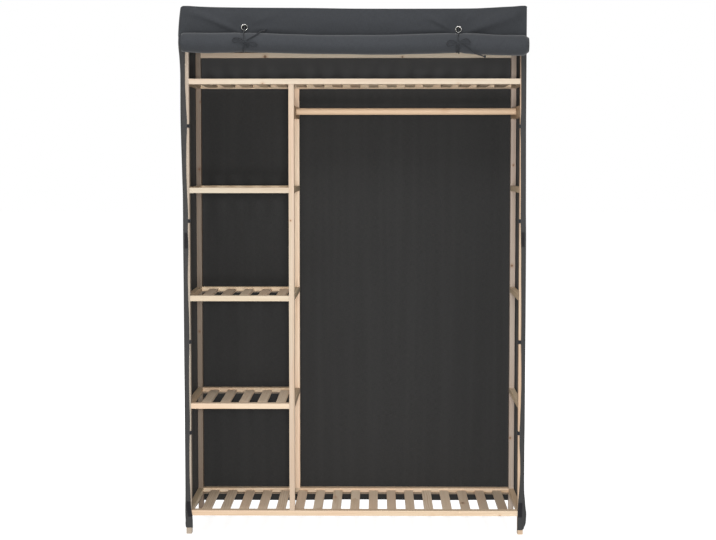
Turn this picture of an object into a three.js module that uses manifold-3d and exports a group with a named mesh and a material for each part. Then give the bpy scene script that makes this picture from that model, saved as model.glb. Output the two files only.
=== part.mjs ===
// Portable wardrobe: a knock-down pine frame inside a sewn fabric cover.
// Millimetres, +Z up, front towards -Y, right hand side towards +X.
// The door is one flap of cloth, rolled up outwards under the top edge and held by two tie cords.
import * as THREE from "three";
import { mergeVertices } from "three/addons/utils/BufferGeometryUtils.js";
import Module from "manifold-3d";

const wasm = await Module();
wasm.setup();

// ---- driving dimensions (X measured from the middle of the frame, Y from the front of the front posts) ----
const GAP = 0.3; // kept between pieces that touch
const FRAME_HALF_W = 544.2; // outer face of a corner post
const POST_W = 17; // post section, across
const POST_D = 28; // post section, front to back
const POST_TOP = 1692;
const FRAME_D = 390; // front of the front posts to back of the back posts
const RAIL_H = 17; // rails are the same stock, laid flat
const SHELF_TOPS = [77, 425.5, 773.5, 1120, 1466]; // top of the rails of each shelf, from the bottom up
const TOP_RAIL_Z = 1666; // underside of the rails under the cover's top
const STRETCHER_Z = 1553; // underside of the upper back stretcher
const DIVIDER_X = [-209.7, -192.7]; // faces of the divider posts
const SLAT_W = 30;
const SLAT_T = 8;
const SLAT_DROP = 6.5; // slats lie this far below the rail tops
const SLAT_X0 = -484.8; // centre of the first slat
const SLAT_PITCH = 60.6;
const SLAT_COUNT = 17;
const BAY_SLATS = 5;
const CLEAT_D = 16; // ledger strip under the slat ends
const ROD_R = 11;
const ROD_Y = 180;
const ROD_Z = 1367;
const ROD_HOLE_R = 11.4;
const ROD_BOARD_Z = [1346, 1382];
const CLOTH = 1.8; // thickness that stands for the cloth and its hems
const COVER_HALF_W = 548;
const COVER_BACK_Y = 394.2;
const HEM_Y = -3.8; // front face of the side panels' front hems
const HEM_W = 14;
const SIDE_BOTTOM = 20;
const BACK_BOTTOM = 30;
const VALANCE_Y = -6.7; // front face of the hanging front cloth
const TOP_T = 2;
const ROLL_CORE_R = 5.5;
const ROLL_Y = -40.5;
const FLAP_BOTTOM = 1571; // where the flap behind the roll turns under it
// stations along the door roll: X, height of its centre, radius. It hangs between the ties, which pinch it.
const ROLL = [
  [-548, 1578, 27.6],
  [-541, 1578, 30],
  [-528, 1578, 30.6],
  [-468, 1576.4, 31.8],
  [-402, 1577, 31.8],
  [-366, 1578, 31],
  [-348, 1578.2, 28.8],
  [-330, 1577.8, 31],
  [-292, 1576.6, 31],
  [-220, 1574.2, 30.6],
  [-106, 1571.4, 30.4],
  [-2, 1570.7, 30.6],
  [98, 1570.2, 31],
  [198, 1572.6, 31.6],
  [278, 1574.8, 31.9],
  [311, 1575.4, 31.6],
  [329, 1575.4, 29.4],
  [347, 1574.8, 31.9],
  [388, 1572.6, 33.3],
  [464, 1568.9, 32.4],
  [520, 1568, 32.6],
  [538, 1568.6, 31.2],
  [547.2, 1569.4, 27.6],
];
const TAB_Z = [926, 976]; // hook-and-loop patch sewn on each front hem
const TAB_T = 0.8;
const STRAP_Z = [330, 625, 1014, 1316]; // loops of tape round the front posts
const STRAP_H = 12;
const STRAP_T = 1.2;
const EYELETS = [
  { name: "left", x: -347.8, z: 1627 },
  { name: "right", x: 329.3, z: 1620.2 },
];
const EYELET_R = 11;
const EYELET_HOLE_R = 5.5;
const EYELET_BARREL_R = 6.4;
const CORD_R = 2.1;
const ORIGIN_Y = 160.2; // middle of the overall box, front of the roll to back of the cover

// ---- materials ----
const pine = new THREE.MeshStandardMaterial({ color: 0xd9bf9c, roughness: 0.62, metalness: 0 });
const dowel = new THREE.MeshStandardMaterial({ color: 0xcfa77c, roughness: 0.55, metalness: 0 });
const cloth = new THREE.MeshStandardMaterial({ color: 0x45484c, roughness: 0.92, metalness: 0 });
const inner = new THREE.MeshStandardMaterial({ color: 0x3a3b3c, roughness: 0.95, metalness: 0 });
const tape = new THREE.MeshStandardMaterial({ color: 0x2c2d2f, roughness: 0.85, metalness: 0 });
const cord = new THREE.MeshStandardMaterial({ color: 0x303338, roughness: 0.8, metalness: 0 });
const nickel = new THREE.MeshStandardMaterial({ color: 0xd2d2cf, roughness: 0.25, metalness: 1 });

const wardrobe = new THREE.Group();
wardrobe.position.set(0, -ORIGIN_Y, 0);

const frame = new THREE.Group();
const cover = new THREE.Group();
const door = new THREE.Group();
wardrobe.add(frame, cover, door);

function put(group, name, geometry, material) {
  const mesh = new THREE.Mesh(geometry, material.clone());
  mesh.name = name;
  group.add(mesh);
  return mesh;
}

function block([x0, x1], [y0, y1], [z0, z1]) {
  const g = new THREE.BoxGeometry(x1 - x0, y1 - y0, z1 - z0);
  g.translate((x0 + x1) / 2, (y0 + y1) / 2, (z0 + z1) / 2);
  return g;
}

function solid(geometry) {
  const g = geometry.clone();
  g.deleteAttribute("normal");
  g.deleteAttribute("uv");
  const merged = mergeVertices(g, 1e-4);
  return new wasm.Manifold(
    new wasm.Mesh({
      numProp: 3,
      vertProperties: new Float32Array(merged.attributes.position.array),
      triVerts: new Uint32Array(merged.index.array),
    }),
  );
}

function surface(manifold) {
  const m = manifold.getMesh();
  const g = new THREE.BufferGeometry();
  g.setAttribute("position", new THREE.BufferAttribute(new Float32Array(m.vertProperties), 3));
  g.setIndex(new THREE.BufferAttribute(new Uint32Array(m.triVerts), 1));
  const flat = g.toNonIndexed();
  flat.computeVertexNormals();
  return flat;
}

const join = (geometries) => surface(geometries.map(solid).reduce((a, b) => a.add(b)));

// A cylinder along X or Y.
function round(axis, r, from, to, centre, sides = 24) {
  const g = new THREE.CylinderGeometry(r, r, to - from, sides);
  if (axis === "x") {
    g.rotateZ(Math.PI / 2);
    g.translate((from + to) / 2, centre[0], centre[1]);
  } else g.translate(centre[0], (from + to) / 2, centre[1]);
  return g;
}

// ---- frame: posts ----
const innerX = FRAME_HALF_W - POST_W;
const frontY = [0, POST_D];
const backY = [FRAME_D - POST_D, FRAME_D];
const betweenY = [POST_D + GAP, FRAME_D - POST_D - GAP];
const leftPost = [-FRAME_HALF_W, -innerX];
const rightPost = [innerX, FRAME_HALF_W];

put(frame, "post_front_left", block(leftPost, frontY, [0, POST_TOP]), pine);
put(frame, "post_front_right", block(rightPost, frontY, [0, POST_TOP]), pine);
put(frame, "post_back_left", block(leftPost, backY, [0, POST_TOP]), pine);
put(frame, "post_back_right", block(rightPost, backY, [0, POST_TOP]), pine);

const dividerZ = [SHELF_TOPS[0] + GAP, SHELF_TOPS[4] - RAIL_H - GAP];
put(frame, "divider_post_front", block(DIVIDER_X, frontY, dividerZ), pine);
put(frame, "divider_post_back", block(DIVIDER_X, backY, dividerZ), pine);

// ---- frame: rails under the cover's top, and the stretcher across the back ----
const wide = [-innerX + GAP, innerX - GAP];
const topRailZ = [TOP_RAIL_Z, TOP_RAIL_Z + RAIL_H];
put(frame, "top_rail_front", block(wide, frontY, topRailZ), pine);
put(frame, "top_rail_back", block(wide, backY, topRailZ), pine);
put(frame, "top_rail_left", block(leftPost, betweenY, topRailZ), pine);
put(frame, "top_rail_right", block(rightPost, betweenY, topRailZ), pine);
put(frame, "upper_back_stretcher", block(wide, backY, [STRETCHER_Z, STRETCHER_Z + RAIL_H]), pine);

// ---- frame: rungs of the two side ladders and of the divider ----
const levels = ["bottom", "shelf_4", "shelf_3", "shelf_2", "upper"];
SHELF_TOPS.forEach((top, i) => {
  const z = [top - RAIL_H, top];
  put(frame, "left_rung_" + levels[i], block(leftPost, betweenY, z), pine);
  put(frame, "right_rung_" + levels[i], block(rightPost, betweenY, z), pine);
  if (i > 0 && i < 4) put(frame, "divider_rung_" + levels[i], block(DIVIDER_X, betweenY, z), pine);
});

// ---- shelves: a front rail, a back rail and a rack of slats running front to back ----
const narrow = [-innerX + GAP, DIVIDER_X[0] - GAP];
SHELF_TOPS.forEach((top, i) => {
  const full = i === 0 || i === 4;
  const span = full ? wide : narrow;
  const z = [top - RAIL_H, top];
  put(frame, levels[i] + "_rail_front", block(span, frontY, z), pine);
  put(frame, levels[i] + "_rail_back", block(span, backY, z), pine);
  const slatZ = [top - SLAT_DROP - SLAT_T, top - SLAT_DROP];
  const cleatZ = [top - RAIL_H, top - SLAT_DROP - SLAT_T + 0.4];
  const pieces = [
    block(span, [betweenY[0], betweenY[0] + CLEAT_D], cleatZ),
    block(span, [betweenY[1] - CLEAT_D, betweenY[1]], cleatZ),
  ];
  for (let k = 0; k < (full ? SLAT_COUNT : BAY_SLATS); k++) {
    const x = SLAT_X0 + k * SLAT_PITCH;
    pieces.push(block([x - SLAT_W / 2, x + SLAT_W / 2], betweenY, slatZ));
  }
  put(frame, levels[i] + "_slats", join(pieces), pine);
});

// ---- hanging rod, held in a bored board at each end ----
for (const [name, x] of [["rod_support_left", DIVIDER_X], ["rod_support_right", rightPost]]) {
  const board = solid(block(x, betweenY, ROD_BOARD_Z));
  const hole = solid(round("x", ROD_HOLE_R, x[0] - 5, x[1] + 5, [ROD_Y, ROD_Z]));
  put(frame, name, surface(board.subtract(hole)), pine);
}
put(frame, "hanging_rod", round("x", ROD_R, DIVIDER_X[0] + 3, FRAME_HALF_W - 3, [ROD_Y, ROD_Z]), dowel);

// ---- cover ----
put(cover, "cover_top", block([-COVER_HALF_W, COVER_HALF_W], [VALANCE_Y, COVER_BACK_Y], [POST_TOP + GAP, POST_TOP + GAP + TOP_T]), cloth);
put(
  cover,
  "cover_back",
  block([-COVER_HALF_W + CLOTH + 0.5, COVER_HALF_W - CLOTH - 0.5], [COVER_BACK_Y - CLOTH, COVER_BACK_Y], [BACK_BOTTOM, POST_TOP]),
  inner,
);
for (const [name, s] of [["cover_side_left", -1], ["cover_side_right", 1]]) {
  const out = s * COVER_HALF_W;
  const span = (a, b) => [Math.min(a, b), Math.max(a, b)];
  put(
    cover,
    name,
    join([
      block(span(out, out - s * CLOTH), [HEM_Y, COVER_BACK_Y], [SIDE_BOTTOM, POST_TOP]),
      block(span(out, out - s * HEM_W), [HEM_Y, HEM_Y + CLOTH], [SIDE_BOTTOM, POST_TOP]),
      block(span(out - s * 1, out - s * (HEM_W - 0.5)), [HEM_Y - TAB_T, HEM_Y + 0.4], TAB_Z),
    ]),
    cloth,
  );
}

const valance = EYELETS.reduce(
  (s, e) => s.subtract(solid(round("y", EYELET_BARREL_R + GAP, VALANCE_Y - 5, VALANCE_Y + CLOTH + 5, [e.x, e.z]))),
  solid(block([-COVER_HALF_W, COVER_HALF_W], [VALANCE_Y, VALANCE_Y + CLOTH], [FLAP_BOTTOM, POST_TOP])),
);
put(cover, "front_valance", surface(valance), cloth);

// ---- loops of tape that hold the cover to the front posts ----
for (const [side, s] of [["left", -1], ["right", 1]]) {
  STRAP_Z.forEach((z, i) => {
    const xs = [s * (innerX - GAP), s * (FRAME_HALF_W + GAP)].sort((a, b) => a - b);
    const outer = block([xs[0] - STRAP_T, xs[1] + STRAP_T], [-GAP - STRAP_T, POST_D + GAP + STRAP_T], [z - STRAP_H / 2, z + STRAP_H / 2]);
    const hollow = block(xs, [-GAP, POST_D + GAP], [z - STRAP_H, z + STRAP_H]);
    put(cover, "strap_" + side + "_" + (i + 1), surface(solid(outer).subtract(solid(hollow))), tape);
  });
}

// ---- eyelets: a rolled ring with a barrel through the cloth ----
for (const e of EYELETS) {
  const profile = [
    [EYELET_HOLE_R, -1.8],
    [EYELET_BARREL_R, -1.8],
    [EYELET_BARREL_R, 2.1],
    [EYELET_R - 0.8, 2.1],
    [EYELET_R, 2.7],
    [EYELET_R - 1.2, 3.7],
    [EYELET_HOLE_R + 1.6, 4.0],
    [EYELET_HOLE_R + 0.2, 3.2],
    [EYELET_HOLE_R, -1.8],
  ].map(([r, h]) => new THREE.Vector2(r, h));
  const g = new THREE.LatheGeometry(profile, 24);
  g.rotateX(Math.PI);
  g.translate(e.x, VALANCE_Y + CLOTH, e.z);
  put(cover, "eyelet_" + e.name, g, nickel);
}

// ---- door roll: the rolled-up flap, with the small open core that rolled cloth has ----
{
  const sides = 32;
  const positions = [];
  const index = [];
  const ring = (x, z, r) => {
    for (let k = 0; k < sides; k++) {
      const a = (2 * Math.PI * k) / sides;
      positions.push(x, ROLL_Y + r * Math.cos(a), z + r * Math.sin(a));
    }
  };
  for (const [x, z, r] of ROLL) ring(x, z, r);
  for (const [x, z] of [...ROLL].reverse()) ring(x, z, ROLL_CORE_R);
  const rings = 2 * ROLL.length;
  for (let i = 0; i < rings; i++) {
    for (let k = 0; k < sides; k++) {
      const [a, b] = [i * sides + k, i * sides + ((k + 1) % sides)];
      const j = (i + 1) % rings;
      const [d, c] = [j * sides + k, j * sides + ((k + 1) % sides)];
      index.push(a, b, c, a, c, d);
    }
  }
  const g = new THREE.BufferGeometry();
  g.setAttribute("position", new THREE.Float32BufferAttribute(positions, 3));
  g.setIndex(index);
  const flat = g.toNonIndexed();
  flat.computeVertexNormals();
  put(door, "door_roll", flat, cloth);
}

// ---- tie cords: one cord through each eyelet, round the roll and tied in a bow in front of it ----
// A point beside the roll: angle 0 is behind it, 90 above, 180 in front, 270 below.
function beside(x, degrees, clear = 0.6) {
  const i = ROLL.findIndex((s, k) => k && s[0] >= x);
  const [p, q] = [ROLL[i - 1], ROLL[i]];
  const t = (x - p[0]) / (q[0] - p[0]);
  const r = p[2] + t * (q[2] - p[2]) + CORD_R + clear;
  const a = (degrees * Math.PI) / 180;
  return [x, ROLL_Y + r * Math.cos(a), p[1] + t * (q[1] - p[1]) + r * Math.sin(a)];
}

const TIES = {
  left: {
    knot: [-343.8, -76.5, 1579.2],
    runs: [
      // free end, over the roll, through the knot, out to the left bow
      [[-277.1, -10.3, 1621.8], [-284.2, -15, 1617], [-287, -27, 1614.2], [-294, -42, 1611.4], [-300.2, -60, 1605.1], [-315.7, -70, 1594.8], [-327.7, -74, 1587.7], [-339.3, -76.3, 1580.9], [-352.3, -74.8, 1586.3], [-363.5, -74.3, 1589.7], [-375.2, -74.3, 1588.6], [-380.4, -75, 1583]],
      // bow, back through the knot, up over the roll and through the eyelet
      [[-380.4, -75, 1583], [-377.6, -75.4, 1577.1], [-366.7, -76.1, 1575.6], [-354.5, -76, 1577.8], [-345.3, -76, 1581.3], [-345.9, -70.5, 1591.3], [-346, -63.3, 1600.7], beside(-347.8, 108), beside(-347.8, 97), beside(-347.8, 86), [-347.8, -26, 1613.2], [-347.8, -15, 1619.6], [-347.8, -6, 1625.6]],
      // down behind the flap and round under the roll, to the right bow
      [[-347.8, -6, 1625.6], [-347.8, 2.2, 1623.8], [-347.8, 6.2, 1616], [-347.8, 5.8, 1604], [-347.8, 3, 1591], [-347.8, -0.8, 1577], [-347.8, -4.6, 1565], [-347.8, -12.5, 1554.2], beside(-347.8, 298, 1), beside(-347.8, 274), beside(-347.8, 250), beside(-347.8, 226, 0.8), [-345.2, -67.1, 1559.3], [-344, -74.1, 1569.9], [-339.8, -77.2, 1578.4], [-330.9, -77.5, 1577.2], [-318.7, -76.5, 1575.1], [-307.8, -75.1, 1570.9], [-305.3, -73.2, 1565.7]],
      // bow, back through the knot, to the other free end
      [[-305.3, -73.2, 1565.7], [-312.3, -72.3, 1563.4], [-323.3, -74.7, 1566.8], [-333.2, -76.8, 1572.2], [-342, -77.7, 1577.9], [-342, -75.6, 1571.8], [-336.9, -73.2, 1566.4], [-333.5, -70.4, 1561.1]],
    ],
  },
  right: {
    knot: [324.9, -76.9, 1571.7],
    runs: [
      [[409.7, -54, 1532.6], [394.9, -61, 1536.7], [381.7, -67.5, 1540.7], [368.9, -66, 1547.7], [358.3, -71.6, 1556], [347.1, -74.9, 1563.6], [337.7, -76.1, 1569], [327.5, -76.6, 1571.7], [318, -77.7, 1576], [309.6, -77.7, 1580.2], [300.2, -76.8, 1581.2], [292.9, -76.5, 1577.5], [290.4, -75.5, 1569.9]],
      [[290.4, -75.5, 1569.9], [294.3, -73.8, 1563.2], [303.6, -75.3, 1564.7], [313.6, -77, 1568.4], [323.3, -77.3, 1572.1], [325, -73.6, 1583.8], [323.7, -68.6, 1593.1], beside(326.6, 126, 0.8), beside(329.3, 108), beside(329.3, 97), beside(329.3, 86), [329.3, -26, 1609.6], [329.3, -15, 1614], [329.3, -6, 1618.8]],
      [[329.3, -6, 1618.8], [329.3, 2.2, 1617], [329.3, 6.2, 1609.2], [329.3, 5.8, 1597.2], [329.3, 3, 1584.2], [329.3, -0.8, 1570.2], [329.3, -4.6, 1558.2], [329.3, -12.5, 1550.4], beside(329.3, 298, 1), beside(329.3, 274), beside(329.3, 250), beside(329.3, 226, 0.8), [329.7, -66.8, 1555.5], [327.7, -72.8, 1562.8], [324.7, -77.1, 1570.1], [333.6, -76.9, 1578.7], [342.5, -76.4, 1583.9], [352.6, -75.6, 1585.7], [360.4, -76, 1581], [362.8, -76.5, 1573.9]],
      [[362.8, -76.5, 1573.9], [356.4, -77.6, 1569.8], [344.6, -79.2, 1571], [334.7, -78.2, 1571.6], [324.9, -78.1, 1571.4], [322.6, -74.1, 1562.8], [322.3, -67.6, 1554.3], [322.3, -59, 1547.1]],
    ],
  },
};

function tube(points, sides = 8) {
  const curve = new THREE.CatmullRomCurve3(points.map((p) => new THREE.Vector3(...p)), false, "centripetal");
  const section = new THREE.Shape(
    Array.from({ length: sides }, (_, i) => {
      const a = (2 * Math.PI * i) / sides;
      return new THREE.Vector2(CORD_R * Math.cos(a), CORD_R * Math.sin(a));
    }),
  );
  return new THREE.ExtrudeGeometry(section, {
    steps: Math.max(8, Math.round(curve.getLength() / 9)),
    extrudePath: curve,
    bevelEnabled: false,
  });
}

for (const [side, tie] of Object.entries(TIES)) {
  const parts = tie.runs.map((run) => tube(run));
  // small balls close the joints between the runs, and the two stopper knots at the free ends
  const ball = (p, r) => new THREE.SphereGeometry(r, 8, 6).translate(p[0], p[1], p[2]);
  for (let i = 1; i < tie.runs.length; i++) parts.push(ball(tie.runs[i][0], CORD_R * 1.02));
  const last = tie.runs[3];
  parts.push(ball(tie.runs[0][0], 3.4), ball(last[last.length - 1], 3.4), ball(tie.knot, 6.4));
  put(cover, "tie_cord_" + side, join(parts), cord);
}

export default wardrobe;
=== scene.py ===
# Portable wardrobe: pine frame, slatted shelves and a sewn charcoal cover with a rolled-up door.
# Everything is in metres in the frame's own axes. Lengths below are written in millimetres and turned into metres by P().
import math

import bpy
import numpy as np
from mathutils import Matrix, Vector


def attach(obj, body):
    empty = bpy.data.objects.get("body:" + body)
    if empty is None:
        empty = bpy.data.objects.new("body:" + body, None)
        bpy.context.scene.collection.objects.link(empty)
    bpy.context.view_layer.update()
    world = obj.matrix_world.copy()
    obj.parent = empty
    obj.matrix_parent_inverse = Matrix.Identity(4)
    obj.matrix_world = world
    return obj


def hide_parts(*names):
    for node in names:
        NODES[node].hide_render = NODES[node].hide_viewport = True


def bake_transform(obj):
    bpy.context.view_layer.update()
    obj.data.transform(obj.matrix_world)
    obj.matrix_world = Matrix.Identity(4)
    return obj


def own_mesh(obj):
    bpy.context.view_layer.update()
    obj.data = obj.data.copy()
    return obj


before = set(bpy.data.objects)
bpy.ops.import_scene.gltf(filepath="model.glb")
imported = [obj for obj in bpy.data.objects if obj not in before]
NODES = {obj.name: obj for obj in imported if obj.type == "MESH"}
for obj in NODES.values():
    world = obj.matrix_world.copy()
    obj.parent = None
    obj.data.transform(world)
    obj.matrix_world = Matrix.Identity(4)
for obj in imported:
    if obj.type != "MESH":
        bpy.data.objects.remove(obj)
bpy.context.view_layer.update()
scene = bpy.context.scene
ORIGIN_Y = 160.2  # the model's own origin lies this far behind the front posts' faces


def P(x, y, z):
    return Vector((x * 0.001, (y - ORIGIN_Y) * 0.001, z * 0.001))


def to_m(a):
    a = np.asarray(a, float).copy()
    a[..., 1] -= ORIGIN_Y
    return a * 0.001


# ---------------------------------------------------------------- camera
cam_data = bpy.data.cameras.new("camera")
cam_data.sensor_fit = "HORIZONTAL"
cam_data.sensor_width = 36.0
cam_data.lens = 1646.0 / 716.0 * 36.0
cam = bpy.data.objects.new("camera", cam_data)
scene.collection.objects.link(cam)
cam.location = P(72.8, -5255, 1223)
cam.rotation_euler = (math.radians(90 - 3.983), 0, math.radians(0.667))
cam_data.clip_start, cam_data.clip_end = 0.05, 60
scene.camera = cam


# ---------------------------------------------------------------- small tools
def curve_of(points):
    """A smooth function through (position, value...) stations."""
    a = np.array(points, float)
    x, cols = a[:, 0], a[:, 1:]
    h = np.diff(x)
    out = []
    for c in cols.T:
        d = np.diff(c) / h
        m = np.concatenate([[d[0]], np.where(d[:-1] * d[1:] > 0, 2 * d[:-1] * d[1:] / (d[:-1] + d[1:] + 1e-12), 0), [d[-1]]])
        out.append((c, m))

    def f(q):
        q = np.clip(np.asarray(q, float), x[0], x[-1])
        i = np.clip(np.searchsorted(x, q, side="right") - 1, 0, len(x) - 2)
        t = (q - x[i]) / h[i]
        r = []
        for c, m in out:
            t2, t3 = t * t, t * t * t
            r.append((2 * t3 - 3 * t2 + 1) * c[i] + (t3 - 2 * t2 + t) * h[i] * m[i] + (-2 * t3 + 3 * t2) * c[i + 1] + (t3 - t2) * h[i] * m[i + 1])
        return r[0] if len(r) == 1 else r

    return f


def smooth(t):
    t = np.clip(t, 0, 1)
    return t * t * (3 - 2 * t)


def waves(u, v, seed, count=7, low=(1, 1), high=(3, 3)):
    """A smooth field of about -1 to 1 with wave numbers between low and high (per unit of u and v)."""
    rng = np.random.RandomState(seed)
    s = np.zeros(np.broadcast(u, v).shape)
    for _ in range(count):
        a = rng.uniform(low[0], high[0]) * (1 if rng.rand() < 0.5 else -1)
        b = rng.uniform(low[1], high[1])
        s = s + np.sin(2 * np.pi * (a * u + b * v) + rng.uniform(0, 2 * np.pi))
    return s / math.sqrt(count / 2.0) / 1.6


def new_object(name, verts, faces, material=None, smooth_shade=True):
    mesh = bpy.data.meshes.new(name)
    verts = np.asarray(verts, float).reshape(-1, 3)
    mesh.from_pydata(verts.tolist(), [], [tuple(int(i) for i in f) for f in faces])
    mesh.update()
    if smooth_shade:
        mesh.polygons.foreach_set("use_smooth", [True] * len(mesh.polygons))
    o = bpy.data.objects.new(name, mesh)
    scene.collection.objects.link(o)
    if material is not None:
        mesh.materials.append(material)
    return o


def grid_faces(n, m, wrap_n=False, wrap_m=False, keep=None):
    i = np.arange(n if wrap_n else n - 1)
    j = np.arange(m if wrap_m else m - 1)
    I, J = np.meshgrid(i, j, indexing="ij")
    a = I * m + J
    b = I * m + (J + 1) % m
    c = ((I + 1) % n) * m + (J + 1) % m
    d = ((I + 1) % n) * m + J
    f = np.stack([a, b, c, d], -1)
    if keep is not None:
        f = f[keep]
    return f.reshape(-1, 4)


def set_cloth_uv(mesh, uv):
    """Where each point lies on the flat cloth, in metres, for the weave."""
    att = mesh.attributes.new("cloth_uv", "FLOAT_VECTOR", "POINT")
    data = np.zeros((len(mesh.vertices), 3), np.float32)
    data[:, :2] = np.asarray(uv, float).reshape(-1, 2)
    att.data.foreach_set("vector", data.ravel())


def sheet(name, pts_mm, material, thick=1.2, keep=None, uv=None, drop_loose=True, sharp=48):
    """A closed thin cloth from a grid of points (n, m, 3) in millimetres."""
    n, m = pts_mm.shape[:2]
    o = new_object(name, to_m(pts_mm), grid_faces(n, m, keep=keep), material)
    if uv is not None:
        set_cloth_uv(o.data, uv)
    mod = o.modifiers.new("thickness", "SOLIDIFY")
    mod.thickness = thick * 0.001
    mod.offset = 0
    mod.use_even_offset = False
    bake(o, sharp, drop_loose)
    return o


def bake(o, sharp=None, drop_loose=False):
    """Applies the object's modifiers to its mesh."""
    bpy.context.view_layer.update()
    dg = bpy.context.evaluated_depsgraph_get()
    mesh = bpy.data.meshes.new_from_object(o.evaluated_get(dg), preserve_all_data_layers=True, depsgraph=dg)
    old = o.data
    o.modifiers.clear()
    o.data = mesh
    mesh.name = o.name
    bpy.data.meshes.remove(old)
    if drop_loose:
        import bmesh

        bm = bmesh.new()
        bm.from_mesh(mesh)
        loose = [v for v in bm.verts if not v.link_faces]
        bmesh.ops.delete(bm, geom=loose, context="VERTS")
        bm.to_mesh(mesh)
        bm.free()
    mesh.polygons.foreach_set("use_smooth", [True] * len(mesh.polygons))
    if sharp:
        mesh.set_sharp_from_angle(angle=math.radians(sharp))
    return o


def catmull(points, step=1.0):
    """Points every step mm on a centripetal Catmull-Rom curve through the given ones."""
    p = np.array(points, float)
    p = np.vstack([2 * p[0] - p[1], p, 2 * p[-1] - p[-2]])
    out = []
    for i in range(1, len(p) - 2):
        p0, p1, p2, p3 = p[i - 1], p[i], p[i + 1], p[i + 2]
        t0 = 0.0
        t1 = t0 + np.linalg.norm(p1 - p0) ** 0.5
        t2 = t1 + np.linalg.norm(p2 - p1) ** 0.5
        t3 = t2 + np.linalg.norm(p3 - p2) ** 0.5
        for t in np.linspace(t1, t2, 24, endpoint=False):
            a1 = (t1 - t) / (t1 - t0) * p0 + (t - t0) / (t1 - t0) * p1
            a2 = (t2 - t) / (t2 - t1) * p1 + (t - t1) / (t2 - t1) * p2
            a3 = (t3 - t) / (t3 - t2) * p2 + (t - t2) / (t3 - t2) * p3
            b1 = (t2 - t) / (t2 - t0) * a1 + (t - t0) / (t2 - t0) * a2
            b2 = (t3 - t) / (t3 - t1) * a2 + (t - t1) / (t3 - t1) * a3
            out.append((t2 - t) / (t2 - t1) * b1 + (t - t1) / (t2 - t1) * b2)
    out.append(p[-2])
    out = np.array(out)
    return resample(out, step)


def resample(line, step):
    d = np.concatenate([[0], np.cumsum(np.linalg.norm(np.diff(line, axis=0), axis=1))])
    n = max(2, int(round(d[-1] / step)) + 1)
    s = np.linspace(0, d[-1], n)
    return np.stack([np.interp(s, d, line[:, k]) for k in range(3)], -1)


def frames_along(line, closed=False):
    """Tangent, normal and binormal that don't twist."""
    t = np.gradient(line, axis=0)
    if closed:
        t = np.roll(line, -1, 0) - np.roll(line, 1, 0)
    t /= np.linalg.norm(t, axis=1)[:, None]
    ref = np.array([0, 0, 1.0]) if abs(t[0][2]) < 0.8 else np.array([1.0, 0, 0])
    n = np.cross(t[0], ref)
    n /= np.linalg.norm(n)
    ns = [n]
    for i in range(1, len(line)):
        v = ns[-1] - t[i] * (ns[-1] @ t[i])
        ns.append(v / np.linalg.norm(v))
    ns = np.array(ns)
    if closed:  # spread the leftover turn so that the ends meet
        v = ns[-1] - t[0] * (ns[-1] @ t[0])
        v /= np.linalg.norm(v)
        left = math.atan2(np.cross(v, ns[0]) @ t[0], v @ ns[0])
        a = np.linspace(0, left, len(line))[:, None]
        bs = np.cross(t, ns)
        ns = ns * np.cos(a) + bs * np.sin(a)
    return t, ns, np.cross(t, ns)


def tube(line, radius, sides=12, twist=None, strands=0, closed=False, cap=True):
    """(vertices in mm, faces) of a tube; with strands it gets the lobes of a laid cord."""
    line = np.asarray(line, float)
    t, nn, bb = frames_along(line, closed)
    step = np.concatenate([[0], np.cumsum(np.linalg.norm(np.diff(line, axis=0), axis=1))])
    th = 2 * np.pi * np.arange(sides) / sides
    r = np.broadcast_to(np.asarray(radius, float).reshape(-1, 1) if np.ndim(radius) else np.full((1, 1), float(radius)), (len(line), sides)).copy()
    if strands:
        phase = 2 * np.pi * step[:, None] / twist
        r = r * (0.96 + 0.06 * np.abs(np.cos(strands * 0.5 * (th[None, :] - phase))))
    pts = line[:, None, :] + r[..., None] * (np.cos(th)[None, :, None] * nn[:, None, :] + np.sin(th)[None, :, None] * bb[:, None, :])
    n, m = pts.shape[:2]
    faces = [tuple(f) for f in grid_faces(n, m, wrap_n=closed, wrap_m=True)]
    verts = pts.reshape(-1, 3)
    if cap and not closed:
        verts = np.vstack([verts, line[0], line[-1]])
        a, b = len(verts) - 2, len(verts) - 1
        for j in range(m):
            faces.append((a, (j + 1) % m, j))
            faces.append((b, (n - 1) * m + j, (n - 1) * m + (j + 1) % m))
    return verts, faces


def merged(parts):
    verts, faces, base = [], [], 0
    for v, f in parts:
        verts.append(np.asarray(v, float))
        faces += [tuple(int(i) + base for i in q) for q in f]
        base += len(v)
    return np.vstack(verts), faces


def lathe(profile, segments, axis, centre):
    """Closed ring from (radius, height) pairs turned round an axis: 'x' or 'y'."""
    prof = np.array(profile, float)
    th = 2 * np.pi * np.arange(segments) / segments
    c, s = np.cos(th), np.sin(th)
    n = len(prof)
    pts = np.zeros((n, segments, 3))
    if axis == "y":
        pts[..., 0] = centre[0] + prof[:, None, 0] * c
        pts[..., 1] = centre[1] + prof[:, None, 1]
        pts[..., 2] = centre[2] + prof[:, None, 0] * s
    else:
        pts[..., 0] = centre[0] + prof[:, None, 1]
        pts[..., 1] = centre[1] + prof[:, None, 0] * c
        pts[..., 2] = centre[2] + prof[:, None, 0] * s
    return pts.reshape(-1, 3), [tuple(f) for f in grid_faces(n, segments, wrap_n=True, wrap_m=True)]


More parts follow.
